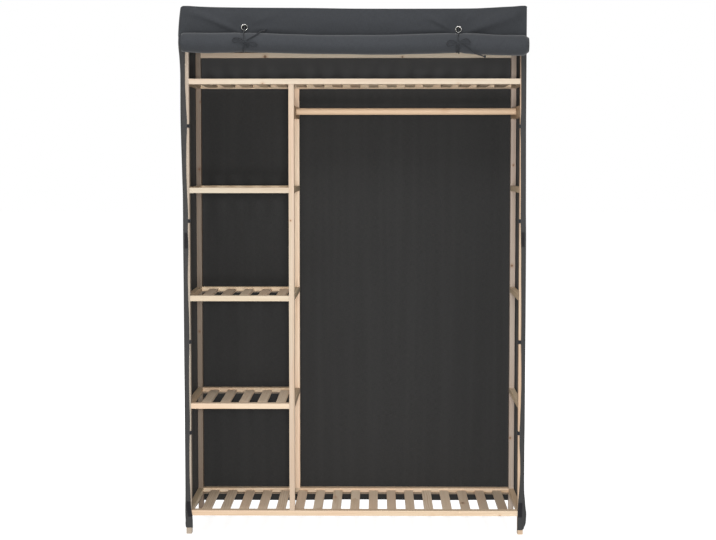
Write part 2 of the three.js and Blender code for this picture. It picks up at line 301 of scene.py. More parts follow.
def stitches(line, normal, pitch=6.0, length=4.2, r=0.42, lift=0.15):
    """Short thread stitches along a line of points (mm); normal is the side they lie on, one per point or one for all."""
    line = np.asarray(line, float)
    d = np.concatenate([[0], np.cumsum(np.linalg.norm(np.diff(line, axis=0), axis=1))])
    nrm = np.broadcast_to(np.asarray(normal, float), line.shape)
    starts = np.arange(pitch * 0.5, d[-1] - length, pitch)
    at = lambda s: np.stack([np.interp(s, d, line[:, k]) for k in range(3)], -1)
    an = lambda s: np.stack([np.interp(s, d, nrm[:, k]) for k in range(3)], -1)
    a, b = at(starts), at(starts + length)
    n = an(starts + length / 2)
    n /= np.linalg.norm(n, axis=1)[:, None]
    t = b - a
    t /= np.linalg.norm(t, axis=1)[:, None]
    w = np.cross(t, n)
    a, b = a + n * lift, b + n * lift
    rings = [(0.0, 0.35, -0.6), (0.22, 1.0, 0.3), (0.78, 1.0, 0.3), (1.0, 0.35, -0.6)]
    verts, faces = [], []
    k = len(starts)
    for f, q, up in rings:
        c = a + (b - a) * f + n * (up * r)
        for ca, sa in ((1, 0), (0, 1), (-1, 0), (0, -1)):
            verts.append(c + w * (ca * r * q) + n * (sa * r * q))
    verts = np.stack(verts, 1).reshape(-1, 3)
    per = 16
    for i in range(k):
        o = i * per
        for g in range(3):
            for j in range(4):
                faces.append((o + g * 4 + j, o + g * 4 + (j + 1) % 4, o + (g + 1) * 4 + (j + 1) % 4, o + (g + 1) * 4 + j))
        faces.append((o + 3, o + 2, o + 1, o))
        faces.append((o + 12, o + 13, o + 14, o + 15))
    return verts, faces


# ---------------------------------------------------------------- node material helpers
class Nodes:
    def __init__(self, name):
        self.mat = bpy.data.materials.new(name)
        self.mat.use_nodes = True
        self.t = self.mat.node_tree
        self.t.nodes.clear()
        self.out = self.add("ShaderNodeOutputMaterial")
        self.bsdf = self.add("ShaderNodeBsdfPrincipled")
        self.link(self.bsdf.outputs[0], self.out.inputs["Surface"])

    def add(self, kind, **props):
        n = self.t.nodes.new(kind)
        for k, v in props.items():
            setattr(n, k, v)
        return n

    def link(self, a, b):
        self.t.links.new(a, b)

    def put(self, socket, value):
        if isinstance(value, bpy.types.NodeSocket):
            self.link(value, socket)
        else:
            socket.default_value = value

    def math(self, op, a, b=None, c=None, clamp=False):
        n = self.add("ShaderNodeMath", operation=op, use_clamp=clamp)
        self.put(n.inputs[0], a)
        if b is not None:
            self.put(n.inputs[1], b)
        if c is not None:
            self.put(n.inputs[2], c)
        return n.outputs[0]

    def scaled(self, vector, scale, offset=(0, 0, 0)):
        n = self.add("ShaderNodeVectorMath", operation="MULTIPLY_ADD")
        self.put(n.inputs[0], vector)
        n.inputs[1].default_value = scale
        n.inputs[2].default_value = offset
        return n.outputs[0]

    def noise(self, vector, scale=1.0, detail=2.0, rough=0.5):
        n = self.add("ShaderNodeTexNoise")
        self.put(n.inputs["Vector"], vector)
        n.inputs["Scale"].default_value = scale
        n.inputs["Detail"].default_value = detail
        n.inputs["Roughness"].default_value = rough
        return n.outputs["Fac"]

    def remap(self, v, lo, hi, a=0.0, b=1.0, smoothly=True):
        n = self.add("ShaderNodeMapRange", interpolation_type="SMOOTHSTEP" if smoothly else "LINEAR")
        self.put(n.inputs["Value"], v)
        for key, val in (("From Min", lo), ("From Max", hi), ("To Min", a), ("To Max", b)):
            n.inputs[key].default_value = val
        return n.outputs["Result"]

    def mix(self, fac, a, b, mode="MIX"):
        n = self.add("ShaderNodeMix", data_type="RGBA", blend_type=mode)
        self.put(n.inputs[0], fac)
        for s, v in ((n.inputs[6], a), (n.inputs[7], b)):
            self.put(s, v if isinstance(v, bpy.types.NodeSocket) else (*v, 1.0))
        return n.outputs[2]

    def bump(self, height, distance, strength=1.0, normal=None):
        n = self.add("ShaderNodeBump")
        n.inputs["Strength"].default_value = strength
        n.inputs["Distance"].default_value = distance
        self.put(n.inputs["Height"], height)
        if normal is not None:
            self.link(normal, n.inputs["Normal"])
        return n.outputs[0]


def wood(name, along, seed, tone=(1.0, 1.0, 1.0), knots=(), slat=None, ledger=None, dowel=False, pink=0.5):
    """Planed pine whose rings run through the piece. along is the grain's axis; knots are (x, y, z, radius) in mm.
    ledger is the height in mm below which a rack of slats is its ledger strips, darkened as painted shade."""
    N = Nodes(name)
    rng = np.random.RandomState(seed)
    co = N.add("ShaderNodeTexCoord").outputs["Object"]
    sep = N.add("ShaderNodeSeparateXYZ")
    N.link(co, sep.inputs[0])
    x, y, z = sep.outputs
    order = {"z": (x, y, z), "x": (y, z, x), "y": (x, z, y)}[along]
    com = N.add("ShaderNodeCombineXYZ")
    for s, v in zip(com.inputs, order):
        N.link(v, s)
    q = com.outputs[0]
    shift = rng.uniform(-5, 5, 3)
    if slat is not None:  # each slat is a piece of its own: an offset that jumps from slat to slat
        first, pitch = slat
        k = N.math("FLOOR", N.math("DIVIDE", N.math("SUBTRACT", x, (first - pitch / 2) * 0.001), pitch * 0.001))
        white = N.add("ShaderNodeTexWhiteNoise", noise_dimensions="1D")
        N.link(N.math("ADD", k, float(seed) * 3.7), white.inputs["W"])
        jump = N.add("ShaderNodeVectorMath", operation="SCALE")
        N.link(white.outputs["Color"], jump.inputs[0])
        jump.inputs["Scale"].default_value = 3.0
        plus = N.add("ShaderNodeVectorMath", operation="ADD")
        N.link(q, plus.inputs[0])
        N.link(jump.outputs[0], plus.inputs[1])
        q = plus.outputs[0]
    # growth rings: distance from a heart line that wanders along the grain
    wander = N.noise(N.scaled(q, (6, 6, 1.3), tuple(shift)), 1.0, 2.0)
    sq = N.add("ShaderNodeSeparateXYZ")
    N.link(q, sq.inputs[0])
    ang = rng.uniform(0, 2 * math.pi)
    far = rng.uniform(0.03, 0.08)
    du = N.math("ADD", sq.outputs[0], N.math("MULTIPLY_ADD", wander, 0.016, far * math.cos(ang)))
    dv = N.math("ADD", sq.outputs[1], N.math("MULTIPLY_ADD", sq.outputs[2], rng.uniform(-0.012, 0.012), far * math.sin(ang)))
    r = N.math("SQRT", N.math("ADD", N.math("MULTIPLY", du, du), N.math("MULTIPLY", dv, dv)))
    ripple = N.noise(N.scaled(q, (60, 60, 9), tuple(shift + 3)), 1.0, 1.5)
    ring = N.math("FRACT", N.math("MULTIPLY_ADD", r, 1 / 0.0034, N.math("MULTIPLY", ripple, 1.1)))
    late = N.math("MULTIPLY", N.remap(ring, 0.35, 0.86), N.remap(ring, 0.93, 1.0, 1.0, 0.0))
    fibre = N.noise(N.scaled(q, (1500, 1500, 28), tuple(shift)), 1.0, 2.0, 0.6)
    streak = N.noise(N.scaled(q, (130, 130, 2.4), tuple(shift + 1)), 1.0, 3.0, 0.55)
    broad = N.noise(N.scaled(q, (9, 9, 2.2), tuple(shift + 2)), 1.0, 2.0)
    if dowel:
        early, dark, warm = (0.69, 0.51, 0.355), (0.53, 0.36, 0.22), (0.70, 0.505, 0.335)
    else:
        early, dark, warm = (0.69, 0.575, 0.44), (0.52, 0.37, 0.235), (0.66, 0.49, 0.36)
    early, dark, warm = (tuple(a * b for a, b in zip(c, tone)) for c in (early, dark, warm))
    base = N.mix(N.remap(broad, 0.40, 0.66, 0.0, pink), early, warm)
    base = N.mix(N.math("MULTIPLY", late, N.remap(streak, 0.3, 0.75, 0.30, 0.85)), base, dark)
    base = N.mix(N.remap(streak, 0.52, 0.80, 0.0, 0.35), base, dark)
    base = N.mix(N.remap(fibre, 0.5, 0.85, 0.0, 0.28), base, dark)
    # knots: a few at random through the stock, and those that are given
    vor = N.add("ShaderNodeTexVoronoi", feature="F1")
    N.link(N.scaled(q, (8.5, 8.5, 4.4), tuple(shift)), vor.inputs["Vector"])
    vor.inputs["Scale"].default_value = 1.0
    near = vor.outputs["Distance"]
    core = N.remap(near, 0.026, 0.048, 1.0, 0.0)
    halo = N.remap(near, 0.035, 0.13, 1.0, 0.0)
    for kx, ky, kz, kr in knots:
        d = N.add("ShaderNodeVectorMath", operation="DISTANCE")
        N.link(co, d.inputs[0])
        d.inputs[1].default_value = P(kx, ky, kz)
        core = N.math("MAXIMUM", core, N.remap(d.outputs["Value"], kr * 0.0008, kr * 0.0012, 1.0, 0.0))
        halo = N.math("MAXIMUM", halo, N.remap(d.outputs["Value"], kr * 0.0009, kr * 0.0032, 0.9, 0.0))
    base = N.mix(N.math("MULTIPLY", halo, 0.5), base, (0.50 * tone[0], 0.29 * tone[1], 0.16 * tone[2]))
    base = N.mix(N.math("MULTIPLY", core, 0.85), base, (0.16, 0.075, 0.035))
    if slat is not None:
        # the slats in the narrow bay are made paler and those at the far right end of the wide bay duller
        pale = N.remap(N.math("ABSOLUTE", N.math("ADD", x, 0.273)), 0.10, 0.16, 1.0, 0.0)
        dull = N.remap(x, 0.31, 0.46, 0.0, 0.25)
        each = N.math("MULTIPLY_ADD", white.outputs["Value"], 0.09, 0.12)
        shade = N.math("ADD", N.math("MULTIPLY", each, N.math("SUBTRACT", 1.0, N.math("MULTIPLY", pale, 0.95))), dull)
        if ledger is not None:
            # painted shade: below this height the strips under the slats' ends are mixed towards dark brown
            shade = N.math("MAXIMUM", shade, N.remap(z, (ledger - 0.1) * 0.001, (ledger + 0.1) * 0.001, 0.80, 0.0))
        base = N.mix(shade, base, (0.05, 0.032, 0.018))
    N.link(base, N.bsdf.inputs["Base Color"])
    N.link(N.remap(streak, 0.2, 0.8, 0.50, 0.68), N.bsdf.inputs["Roughness"])
    N.bsdf.inputs["Specular IOR Level"].default_value = 0.35
    h = N.math("ADD", N.math("MULTIPLY", fibre, 0.7), N.math("MULTIPLY", late, 0.5))
    N.link(N.bump(h, 0.00022, 0.8), N.bsdf.inputs["Normal"])
    return N.mat


def fabric(name, colour, plane, sheen=0.18, rough=0.9, streaks=0.0, weave=1.0, scale=1.0, painted_light_above=None):
    """Matt woven synthetic. plane says which two directions the threads run in, or 'uv' for the cloth's own.
    The last argument is the height in metres above which the side that faces the front is made paler: painted light."""
    N = Nodes(name)
    co = N.add("ShaderNodeTexCoord").outputs["Object"]
    if plane == "uv":
        att = N.add("ShaderNodeAttribute", attribute_name="cloth_uv")
        sep = N.add("ShaderNodeSeparateXYZ")
        N.link(att.outputs["Vector"], sep.inputs[0])
        u, v = sep.outputs[0], sep.outputs[1]
    else:
        sep = N.add("ShaderNodeSeparateXYZ")
        N.link(co, sep.inputs[0])
        x, y, z = sep.outputs
        if plane == "xz":
            u, v = x, z
        elif plane == "xy":
            u, v = x, y
        else:  # round a corner: 'yz+' on the right, 'yz-' on the left
            u, v = N.math("ADD" if plane == "yz-" else "SUBTRACT", y, x) if plane != "yz" else y, z
    com = N.add("ShaderNodeCombineXYZ")
    N.link(u, com.inputs[0])
    N.link(v, com.inputs[1])
    p = com.outputs[0]
    warp = N.noise(N.scaled(p, (1150 / scale, 70 / scale, 1)), 1.0, 1.0)
    weft = N.noise(N.scaled(p, (70 / scale, 1150 / scale, 1), (3, 7, 1)), 1.0, 1.0)
    mottle = N.noise(N.scaled(p, (26, 26, 1), (1, 5, 2)), 1.0, 3.0, 0.6)
    cloud = N.noise(N.scaled(p, (3.2, 2.4, 1), (4, 1, 3)), 1.0, 2.0)
    threads = N.math("ADD", warp, weft)
    base = N.mix(N.remap(threads, 0.75, 1.25, 0.0, 1.0), tuple(c * 0.84 for c in colour), tuple(c * 1.15 for c in colour))
    base = N.mix(N.remap(mottle, 0.3, 0.7, 0.0, 0.28), base, tuple(c * 1.28 + 0.003 for c in colour))
    base = N.mix(N.remap(cloud, 0.3, 0.75, 0.0, 0.22), base, tuple(c * 0.76 for c in colour))
    if streaks:
        line = N.noise(N.scaled(p, (38, 1.1, 1), (9, 2, 5)), 1.0, 2.0)
        base = N.mix(N.remap(line, 0.35, 0.75, 0.0, streaks), base, tuple(c * 1.5 + 0.004 for c in colour))
    # painted light: above that height the inner face is mixed towards a much paler cloth colour
    if painted_light_above:
        side = N.add("ShaderNodeSeparateXYZ")
        N.link(N.add("ShaderNodeNewGeometry").outputs["Normal"], side.inputs[0])
        inside = N.remap(side.outputs[1], -0.3, 0.3, 1.0, 0.0)
        high = N.remap(z, painted_light_above - 0.03, painted_light_above + 0.03, 0.0, 1.0)
        base = N.mix(N.math("MULTIPLY", inside, high), base, tuple(c * 2.3 for c in colour))
    N.link(base, N.bsdf.inputs["Base Color"])
    N.link(N.remap(mottle, 0.2, 0.8, rough - 0.06, min(1.0, rough + 0.06)), N.bsdf.inputs["Roughness"])
    N.bsdf.inputs["Specular IOR Level"].default_value = 0.22
    N.bsdf.inputs["Sheen Weight"].default_value = sheen
    N.bsdf.inputs["Sheen Roughness"].default_value = 0.45
    N.link(N.bump(threads, 0.00028 * weave, 0.7, N.bump(mottle, 0.0012, 0.35)), N.bsdf.inputs["Normal"])
    return N.mat


CHARCOAL = (0.0283, 0.0306, 0.0345)
front_cloth_mat = fabric("cloth_front", CHARCOAL, "xz")
side_l_mat = fabric("cloth_left", (0.043, 0.0425, 0.0425), "yz-", sheen=0.04)
side_r_mat = fabric("cloth_right", (0.041, 0.041, 0.041), "yz+", sheen=0.04)
top_mat = fabric("cloth_top", CHARCOAL, "xy")
# the back panel's inner face above 1.46 m is made paler as painted light
back_mat = fabric("cloth_back", (0.0256, 0.0255, 0.0254), "xz", sheen=0.1, streaks=0.16, painted_light_above=1.46)
# the roll is the front band's own cloth, made 1.18 times paler than CHARCOAL to stand in for the light the roll catches
# and the shade the band sits in: painted light and painted shade
roll_mat = fabric("cloth_roll", (0.0335, 0.0362, 0.0409), "uv", sheen=0.2)
tape_mat = fabric("tape", (0.017, 0.017, 0.020), "yz", sheen=0.08, scale=1.6)
# painted shade: the cord is made darker than the cloth to stand in for the shadows that run beside the cords
cord_mat = fabric("cord", (0.0235, 0.0255, 0.029), "uv", sheen=0.08, weave=1.6)
thread_mat = fabric("thread", (0.038, 0.040, 0.045), "xz", sheen=0.1)
hook_mat = fabric("hook_tape", (0.012, 0.011, 0.013), "xz", sheen=0.05, rough=0.8, weave=3.0)


# ---------------------------------------------------------------- the roll's stations, as in the CAD
ROLL_Y = -40.5
CORD_R = 2.1
ROLL = [
    (-548, 1578, 27.6), (-541, 1578, 30), (-528, 1578, 30.6), (-468, 1576.4, 31.8), (-402, 1577, 31.8), (-366, 1578, 31),
    (-348, 1578.2, 28.8), (-330, 1577.8, 31), (-292, 1576.6, 31), (-220, 1574.2, 30.6), (-106, 1571.4, 30.4), (-2, 1570.7, 30.6),
    (98, 1570.2, 31), (198, 1572.6, 31.6), (278, 1574.8, 31.9), (311, 1575.4, 31.6), (329, 1575.4, 29.4), (347, 1574.8, 31.9),
    (388, 1572.6, 33.3), (464, 1568.9, 32.4), (520, 1568, 32.6), (538, 1568.6, 31.2), (547.2, 1569.4, 27.6),
]


def beside(x, degrees, clear=0.6):
    """A point beside the roll: 0 is behind it, 90 above, 180 in front, 270 below."""
    xs = [s[0] for s in ROLL]
    r = np.interp(x, xs, [s[2] for s in ROLL]) + CORD_R + clear
    a = math.radians(degrees)
    return [x, ROLL_Y + r * math.cos(a), np.interp(x, xs, [s[1] for s in ROLL]) + r * math.sin(a)]


# ---------------------------------------------------------------- tie cords: each eyelet's cord has a front run and a rear run
EYELETS = {"left": (-347.8, 1627.0), "right": (329.3, 1620.2)}
TIE_ROUTES = {
    "left": {
        "knot": (-343.8, -76.5, 1579.2),
        "front": [
            [-347.8, -4.6, 1629.2], [-347.8, -10.8, 1626.9], [-347.8, -14.6, 1621.6], [-347.8, -18.8, 1616.6], [-347.8, -26, 1613.2], beside(-347.8, 86), beside(-347.8, 97), beside(-347.8, 108),
            [-346, -63.3, 1600.7], [-345.9, -70.5, 1591.3], [-345.3, -76, 1581.3], [-354.5, -76, 1577.8], [-366.7, -76.1, 1575.6], [-377.6, -75.4, 1577.1],
            [-380.4, -75, 1583], [-375.2, -74.3, 1588.6], [-363.5, -74.3, 1589.7], [-352.3, -74.8, 1586.3], [-339.3, -76.3, 1580.9], [-327.7, -74, 1587.7],
            [-315.7, -70, 1594.8], [-300.2, -60, 1605.1], [-294, -42, 1611.4], [-287, -27, 1614.2], [-284.2, -15, 1617], [-277.1, -10.3, 1621.8],
        ],
        "rear": [
            [-347.8, -4.6, 1629.2], [-347.8, 2.4, 1625.4], [-347.8, 6.2, 1617], [-347.8, 5.8, 1604], [-347.8, 3, 1591], [-347.8, -0.8, 1577],
            [-347.8, -4.6, 1565], [-347.8, -12.5, 1554.2], beside(-347.8, 298, 1), beside(-347.8, 274), beside(-347.8, 250), beside(-347.8, 226, 0.8),
            [-345.2, -67.1, 1559.3], [-344, -74.1, 1569.9], [-339.8, -77.2, 1578.4], [-330.9, -77.5, 1577.2], [-318.7, -76.5, 1575.9], [-308.4, -75.6, 1573.6],
            [-303.8, -74.2, 1567.6], [-309.6, -72.6, 1562.2], [-321, -73.8, 1564.2], [-332.4, -76.8, 1571.2], [-341, -78.1, 1578.2], [-348.4, -77.7, 1577.4],
            [-350, -76.2, 1571.2], [-344.6, -74.4, 1566.8], [-338.4, -72.6, 1564.8], [-333.5, -70.4, 1561.1],
        ],
    },
    "right": {
        "knot": (324.9, -76.9, 1571.7),
        "front": [
            [329.3, -4.6, 1622.4], [329.3, -10.8, 1620.2], [329.3, -14.6, 1615.4], [329.3, -19, 1611.6], [329.3, -26, 1609.2], beside(329.3, 86), beside(329.3, 97), beside(329.3, 108),
            beside(326.6, 126, 0.8), [323.7, -68.6, 1593.1], [325, -73.6, 1583.8], [323.3, -77.3, 1572.1], [313.6, -77, 1568.4], [303.6, -75.3, 1564.7],
            [294.3, -73.8, 1563.2], [290.4, -75.5, 1569.9], [292.9, -76.5, 1577.5], [300.2, -76.8, 1581.2], [309.6, -77.7, 1580.2], [318, -77.7, 1576],
            [327.5, -76.6, 1571.7], [337.7, -76.1, 1569], [347.1, -74.9, 1563.6], [358.3, -71.6, 1556], [368.9, -66, 1547.7], [381.7, -67.5, 1540.7],
            [394.9, -61, 1536.7], [409.7, -54, 1532.6],
        ],
        "rear": [
            [329.3, -4.6, 1622.4], [329.3, 2.4, 1618.6], [329.3, 6.2, 1610.2], [329.3, 5.8, 1597.2], [329.3, 3, 1584.2], [329.3, -0.8, 1570.2],
            [329.3, -4.6, 1558.2], [329.3, -12.5, 1550.4], beside(329.3, 298, 1), beside(329.3, 274), beside(329.3, 250), beside(329.3, 226, 0.8),
            [329.7, -66.8, 1555.5], [327.7, -72.8, 1562.8], [324.7, -77.1, 1570.1], [333.6, -76.9, 1578.7], [342.5, -76.4, 1583.9], [352.6, -75.6, 1585.7],
            [360.4, -76, 1581], [362.8, -76.5, 1573.9], [356.4, -77.6, 1569.8], [344.6, -79.2, 1571], [334.7, -78.2, 1571.6], [324.9, -78.1, 1571.4],
            [322.6, -74.1, 1562.8], [322.3, -67.6, 1554.3], [322.3, -59, 1547.1],
        ],
    },
}


def trefoil(centre, size, r, tilt, sides=10):
    t = np.linspace(0, 2 * np.pi, 72, endpoint=False)
    k = np.stack([np.sin(t) + 2 * np.sin(2 * t), -0.8 * np.sin(3 * t), np.cos(t) - 2 * np.cos(2 * t)], -1) * size
    c, s = math.cos(tilt), math.sin(tilt)
    k = np.stack([k[:, 0] * c - k[:, 2] * s, k[:, 1], k[:, 0] * s + k[:, 2] * c], -1) + np.array(centre)
    return tube(k, r, sides, closed=True)


for side, tie in TIE_ROUTES.items():
    cords = []
    for run in ("front", "rear"):
        line = catmull(tie[run], 1.1)
        length = float(np.linalg.norm(np.diff(line, axis=0), axis=1).sum()) * 0.001
        v, f = tube(line, CORD_R, 12, twist=8.0, strands=6)
        name = f"tie_{side}_{run}"
        o = new_object(name, to_m(v), f, cord_mat)
        along = np.concatenate([[0], np.cumsum(np.linalg.norm(np.diff(line, axis=0), axis=1))]) * 0.001
        uv = np.stack(np.meshgrid(along, np.arange(12) / 12 * 0.010, indexing="ij"), -1).reshape(-1, 2)
        set_cloth_uv(o.data, np.vstack([uv, [[0, 0], [along[-1], 0]]]))
        stop = new_object(name + "_end_knot", *(lambda k: (to_m(k[0]), k[1]))(trefoil(line[-1], 1.15, 1.6, 0.4 if run == "front" else 1.3)), cord_mat)
        cords.append((o, stop, line, length))
    bow = new_object(f"tie_{side}_knot", *(lambda k: (to_m(k[0]), k[1]))(trefoil(tie["knot"], 1.9, 2.0, 0.25)), cord_mat)
    for o in [bow] + [c[1] for c in cords]:
        set_cloth_uv(o.data, np.array([[v.co.x, v.co.z] for v in o.data.vertices]))
    ex, ez = EYELETS[side]
    for o in [bow] + [x for c in cords for x in c[:2]]:
        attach(o, "frame")
        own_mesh(o)
    for i, (o, stop, line, length) in enumerate(cords):
        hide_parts(f"tie_cord_{side}")
        [tuple(p) for p in to_m(line)]


# ---------------------------------------------------------------- cover: shapes read off the object
HALF = 548.0
top_edge = curve_of([(-552, 1689.6), (-549.4, 1692), (-546.4, 1694.2), (-542, 1695.6), (-532.2, 1695.7), (-491.2, 1693.5), (-452.2, 1691.9), (-402.2, 1690.9), (-332.2, 1690), (-242.2, 1689.3), (-172.2, 1688.9),
                     (-102.2, 1688.1), (-32.2, 1686.9), (47.8, 1686.3), (167.8, 1686.1), (297.8, 1686.3), (377.8, 1686.9), (422.8, 1688.7), (463.8, 1691), (502.8, 1693), (527.8, 1694.9), (538, 1695.2),
                     (542.2, 1694.6), (545.4, 1692.8), (548, 1690)])
# outer outline of each side's front edge, by height
left_out = curve_of([(14, 543.7), (21, 545.5), (28, 546.8), (51, 547.2), (64, 547.8), (90, 547.7), (116, 547.1), (175, 546.8), (371, 547), (468, 547.1), (565, 547.5), (759, 547.6), (855, 547.9), (951, 548.4),
                     (1047, 548.1), (1095, 548.2), (1143, 549.6), (1191, 550.8), (1239, 552.2), (1286, 553.5), (1334, 554.5), (1381, 554.7), (1429, 554.4), (1476, 554.2), (1523, 556.2), (1545, 558), (1564, 560.2), (1580, 561),
                     (1602, 560.1), (1621, 559.4), (1640, 558), (1659, 556.2), (1678, 553.9), (1694, 551.4)])
right_out = curve_of([(14, 545.6), (24, 549.3), (31, 552.2), (41, 554.8), (54, 555.6), (67, 556.2), (80, 554.5), (93, 552.8), (119, 550.5), (139, 548.4), (178, 547.6), (275, 547.8), (373, 548.4), (567, 548.5),
                      (760, 548.6), (952, 548.5), (1048, 547.2), (1143, 546.8), (1239, 546.3), (1333, 545.9), (1429, 545.9), (1694, 545.9)])
# inner edge of each front hem
left_in = curve_of([(14, 522.7), (40, 523), (57, 523.7), (80, 527.4), (110, 529.4), (150, 530.8), (190, 532.6), (254, 532.6), (293, 532.2), (330, 531), (371, 530.2),
                    (430, 531.4), (500, 532), (560, 531.4), (604, 530), (640, 529.8), (700, 530.4), (760, 532.4), (830, 533.6), (875, 532.7), (930, 530.7), (990, 532.6),
                    (1028, 531.2), (1067, 532.2), (1105, 534.2), (1200, 536.1), (1258, 535.2), (1310, 532.8), (1334, 532.7), (1372, 534.9), (1410, 536.2), (1448, 538.2),
                    (1530, 537.6), (1600, 537.2), (1694, 536.2)])
right_in = curve_of([(14, 525.6), (57, 526.5), (97, 527.7), (136, 531), (175, 533.4), (214, 534.6), (254, 533.6), (293, 531.6), (330, 531.4), (371, 533), (449, 535.2),
                     (488, 535.8), (527, 535.8), (565, 535.3), (625, 534), (682, 534.3), (759, 533.8), (836, 532.9), (900, 532.6), (952, 531.6), (1014, 530.4), (1105, 530.2),
                     (1181, 529.6), (1258, 529), (1316, 527.6), (1372, 529.2), (1448, 528.9), (1523, 528), (1600, 528.8), (1694, 529.8)])


def nonuniform(stops):
    """Positions from (start, step) pairs; the last pair's start is the end."""
    out = []
    for (a, step), (b, _) in zip(stops, stops[1:]):
        n = max(1, int(round((b - a) / step)))
        out += list(np.linspace(a, b, n, endpoint=False))
    return np.array(out + [stops[-1][0]])


# ---------------------------------------------------------------- side panels
def side_panel(s, name, outline, inner, material, seed):
    z_rows = nonuniform([(0, 3), (30, 9), (300, 14), (1400, 12), (1640, 8), (1694, 1)]) / 1694.0
    # along the path: hem, front corner, side, back corner, short back wrap
    hem_n, turns = 5, np.radians(np.linspace(0, 90, 8))[:-1]
    f_cols = nonuniform([(0, 4), (36, 9), (346, 6), (385, 2), (391, 1)]) / 391.0
    y_n = len(turns) + len(f_cols)
    cols = hem_n + y_n + 4
    pts = np.zeros((len(z_rows), cols, 3))
    K = z_rows[:, None]
    # the bottom edge waves a little and lifts at the front corner
    ycol = np.concatenate([np.full(hem_n + len(turns), -3.0), 3.0 + 391.0 * f_cols, np.full(4, 396.0)])[None, :]
    bottom = 16.0 + 2.6 * waves(ycol / 400.0, np.zeros_like(ycol), seed + 5, 4, (0.6, 0), (2.2, 1)) + 4.0 * smooth((20 - ycol) / 24.0) * (s < 0) * 0.5
    top_z = top_edge(s * HALF) - 0.9 - 3.0 * np.sin(np.pi * np.clip(ycol / 392.0, 0, 1)) ** 0.7
    Z = bottom + (top_z - bottom) * K
    # under the hanging band the panel's front edge lies just inside the band's turned end
    under = smooth((Z[:, :1] - 1603) / 8.0) * (s < 0)
    outer = outline(Z[:, :1]) - 0.6 - 1.7 * under  # mid surface
    inn = inner(Z[:, :1])
    rad = 3.2 + np.clip(outer - 547.0, 0, 13)
    start = -3.0 + rad
    y = start + (394.0 - start) * f_cols[None, :]
    zz = Z[:, hem_n + len(turns):hem_n + y_n]
    fade = smooth((y - start) / 90.0)
    # away from the front edge the cloth lies near the posts, with soft vertical folds and a few pulls from the top corners
    lie = 546.6 + 0.0 * y
    drop = smooth((1694 - zz) / 900.0)
    # between the front and back posts the cloth may bulge or hang in soft folds
    span = np.sin(np.pi * np.clip((y - start - 4) / (386.0 - start), 0, 1)) ** 0.8
    fold = (0.5 + 0.5 * waves(y / 400.0, zz / 1700.0, seed, 6, (1.5, 0.15), (3.6, 0.55)))
    fine = waves(y / 400.0, zz / 1700.0, seed + 1, 6, (3.5, 0.5), (8.0, 2.0))
    bulge = span * (2.2 + 5.2 * fold * (0.35 + 0.65 * drop) + 0.7 * fine)
    # pulls that fan out of the two top corners
    for cy, sgn in ((2.0, 1), (390.0, -1)):
        dy, dz = (y - cy) * sgn, (1694 - zz)
        far = np.hypot(dy, dz)
        angl = np.degrees(np.arctan2(dz, np.maximum(dy, 1e-3)))
        for a0, w, amp, reach in ((28, 5, 1.5, 260), (47, 4, 1.9, 340), (66, 4, 1.4, 480)):
            bulge += amp * np.exp(-((angl - a0) / w) ** 2) * smooth(far / 40.0) * smooth((reach - far) / reach) * smooth((y - start) / 20.0)
    hem_step = 0.5 * smooth((bottom[:, hem_n + len(turns):hem_n + y_n] + 19 - zz) / 1.5)
    X = outer * (1 - fade) + lie * fade + bulge + hem_step
    X = np.maximum(X, 545.25 if s > 0 else 546.1)
    sl = slice(hem_n + len(turns), hem_n + y_n)
    pts[:, sl, 0], pts[:, sl, 1], pts[:, sl, 2] = s * X, y, zz
    # front corner: from the front face round into the side
    edge = X[:, :1]
    sl = slice(hem_n, hem_n + len(turns))
    pts[:, sl, 0] = s * (edge - rad + rad * np.sin(turns)[None, :])
    pts[:, sl, 1] = start - rad * np.cos(turns)[None, :]
    pts[:, sl, 2] = Z[:, sl]
    # hem strip on the front face
    first = edge - rad
    t = np.linspace(0, 1, hem_n, endpoint=False)[None, :]
    hx = inn + (first - inn) * t
    pts[:, :hem_n, 0] = s * hx
    pts[:, :hem_n, 1] = -2.95 - 0.25 * np.sin(np.pi * t) + 0.0 * hx
    pts[:, :hem_n, 2] = Z[:, :hem_n]
    # back wrap over the back panel's edge
    last = X[:, -1:]
    for k, (dx, dy) in enumerate(((0.2, 1.4), (1.6, 2.2), (6, 2.4), (13, 2.2))):
        pts[:, hem_n + y_n + k, 0] = s * (last[:, 0] - dx)
        pts[:, hem_n + y_n + k, 1] = 394.0 + dy - 0.6
        pts[:, hem_n + y_n + k, 2] = Z[:, hem_n + y_n + k]
    # the front bottom corner is rounded
    low = smooth((40 - Z) / 26.0)
    near = np.zeros(cols)
    near[:hem_n + len(turns) + 3] = 1
    pts[..., 2] += 3.5 * low * near[None, :] * (0.5 if s < 0 else 1.0) * smooth((np.abs(pts[..., 0]) - 540) / 8.0)
    o = sheet(name, pts, material, 1.25)
    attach(o, "frame")
    return o, pts, hem_n, y_n


side_l, pts_l, HN, YN = side_panel(-1, "side_panel_left", left_out, left_in, side_l_mat, 11)
side_r, pts_r, _, _ = side_panel(1, "side_panel_right", right_out, right_in, side_r_mat, 23)
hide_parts("cover_side_left")
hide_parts("cover_side_right")


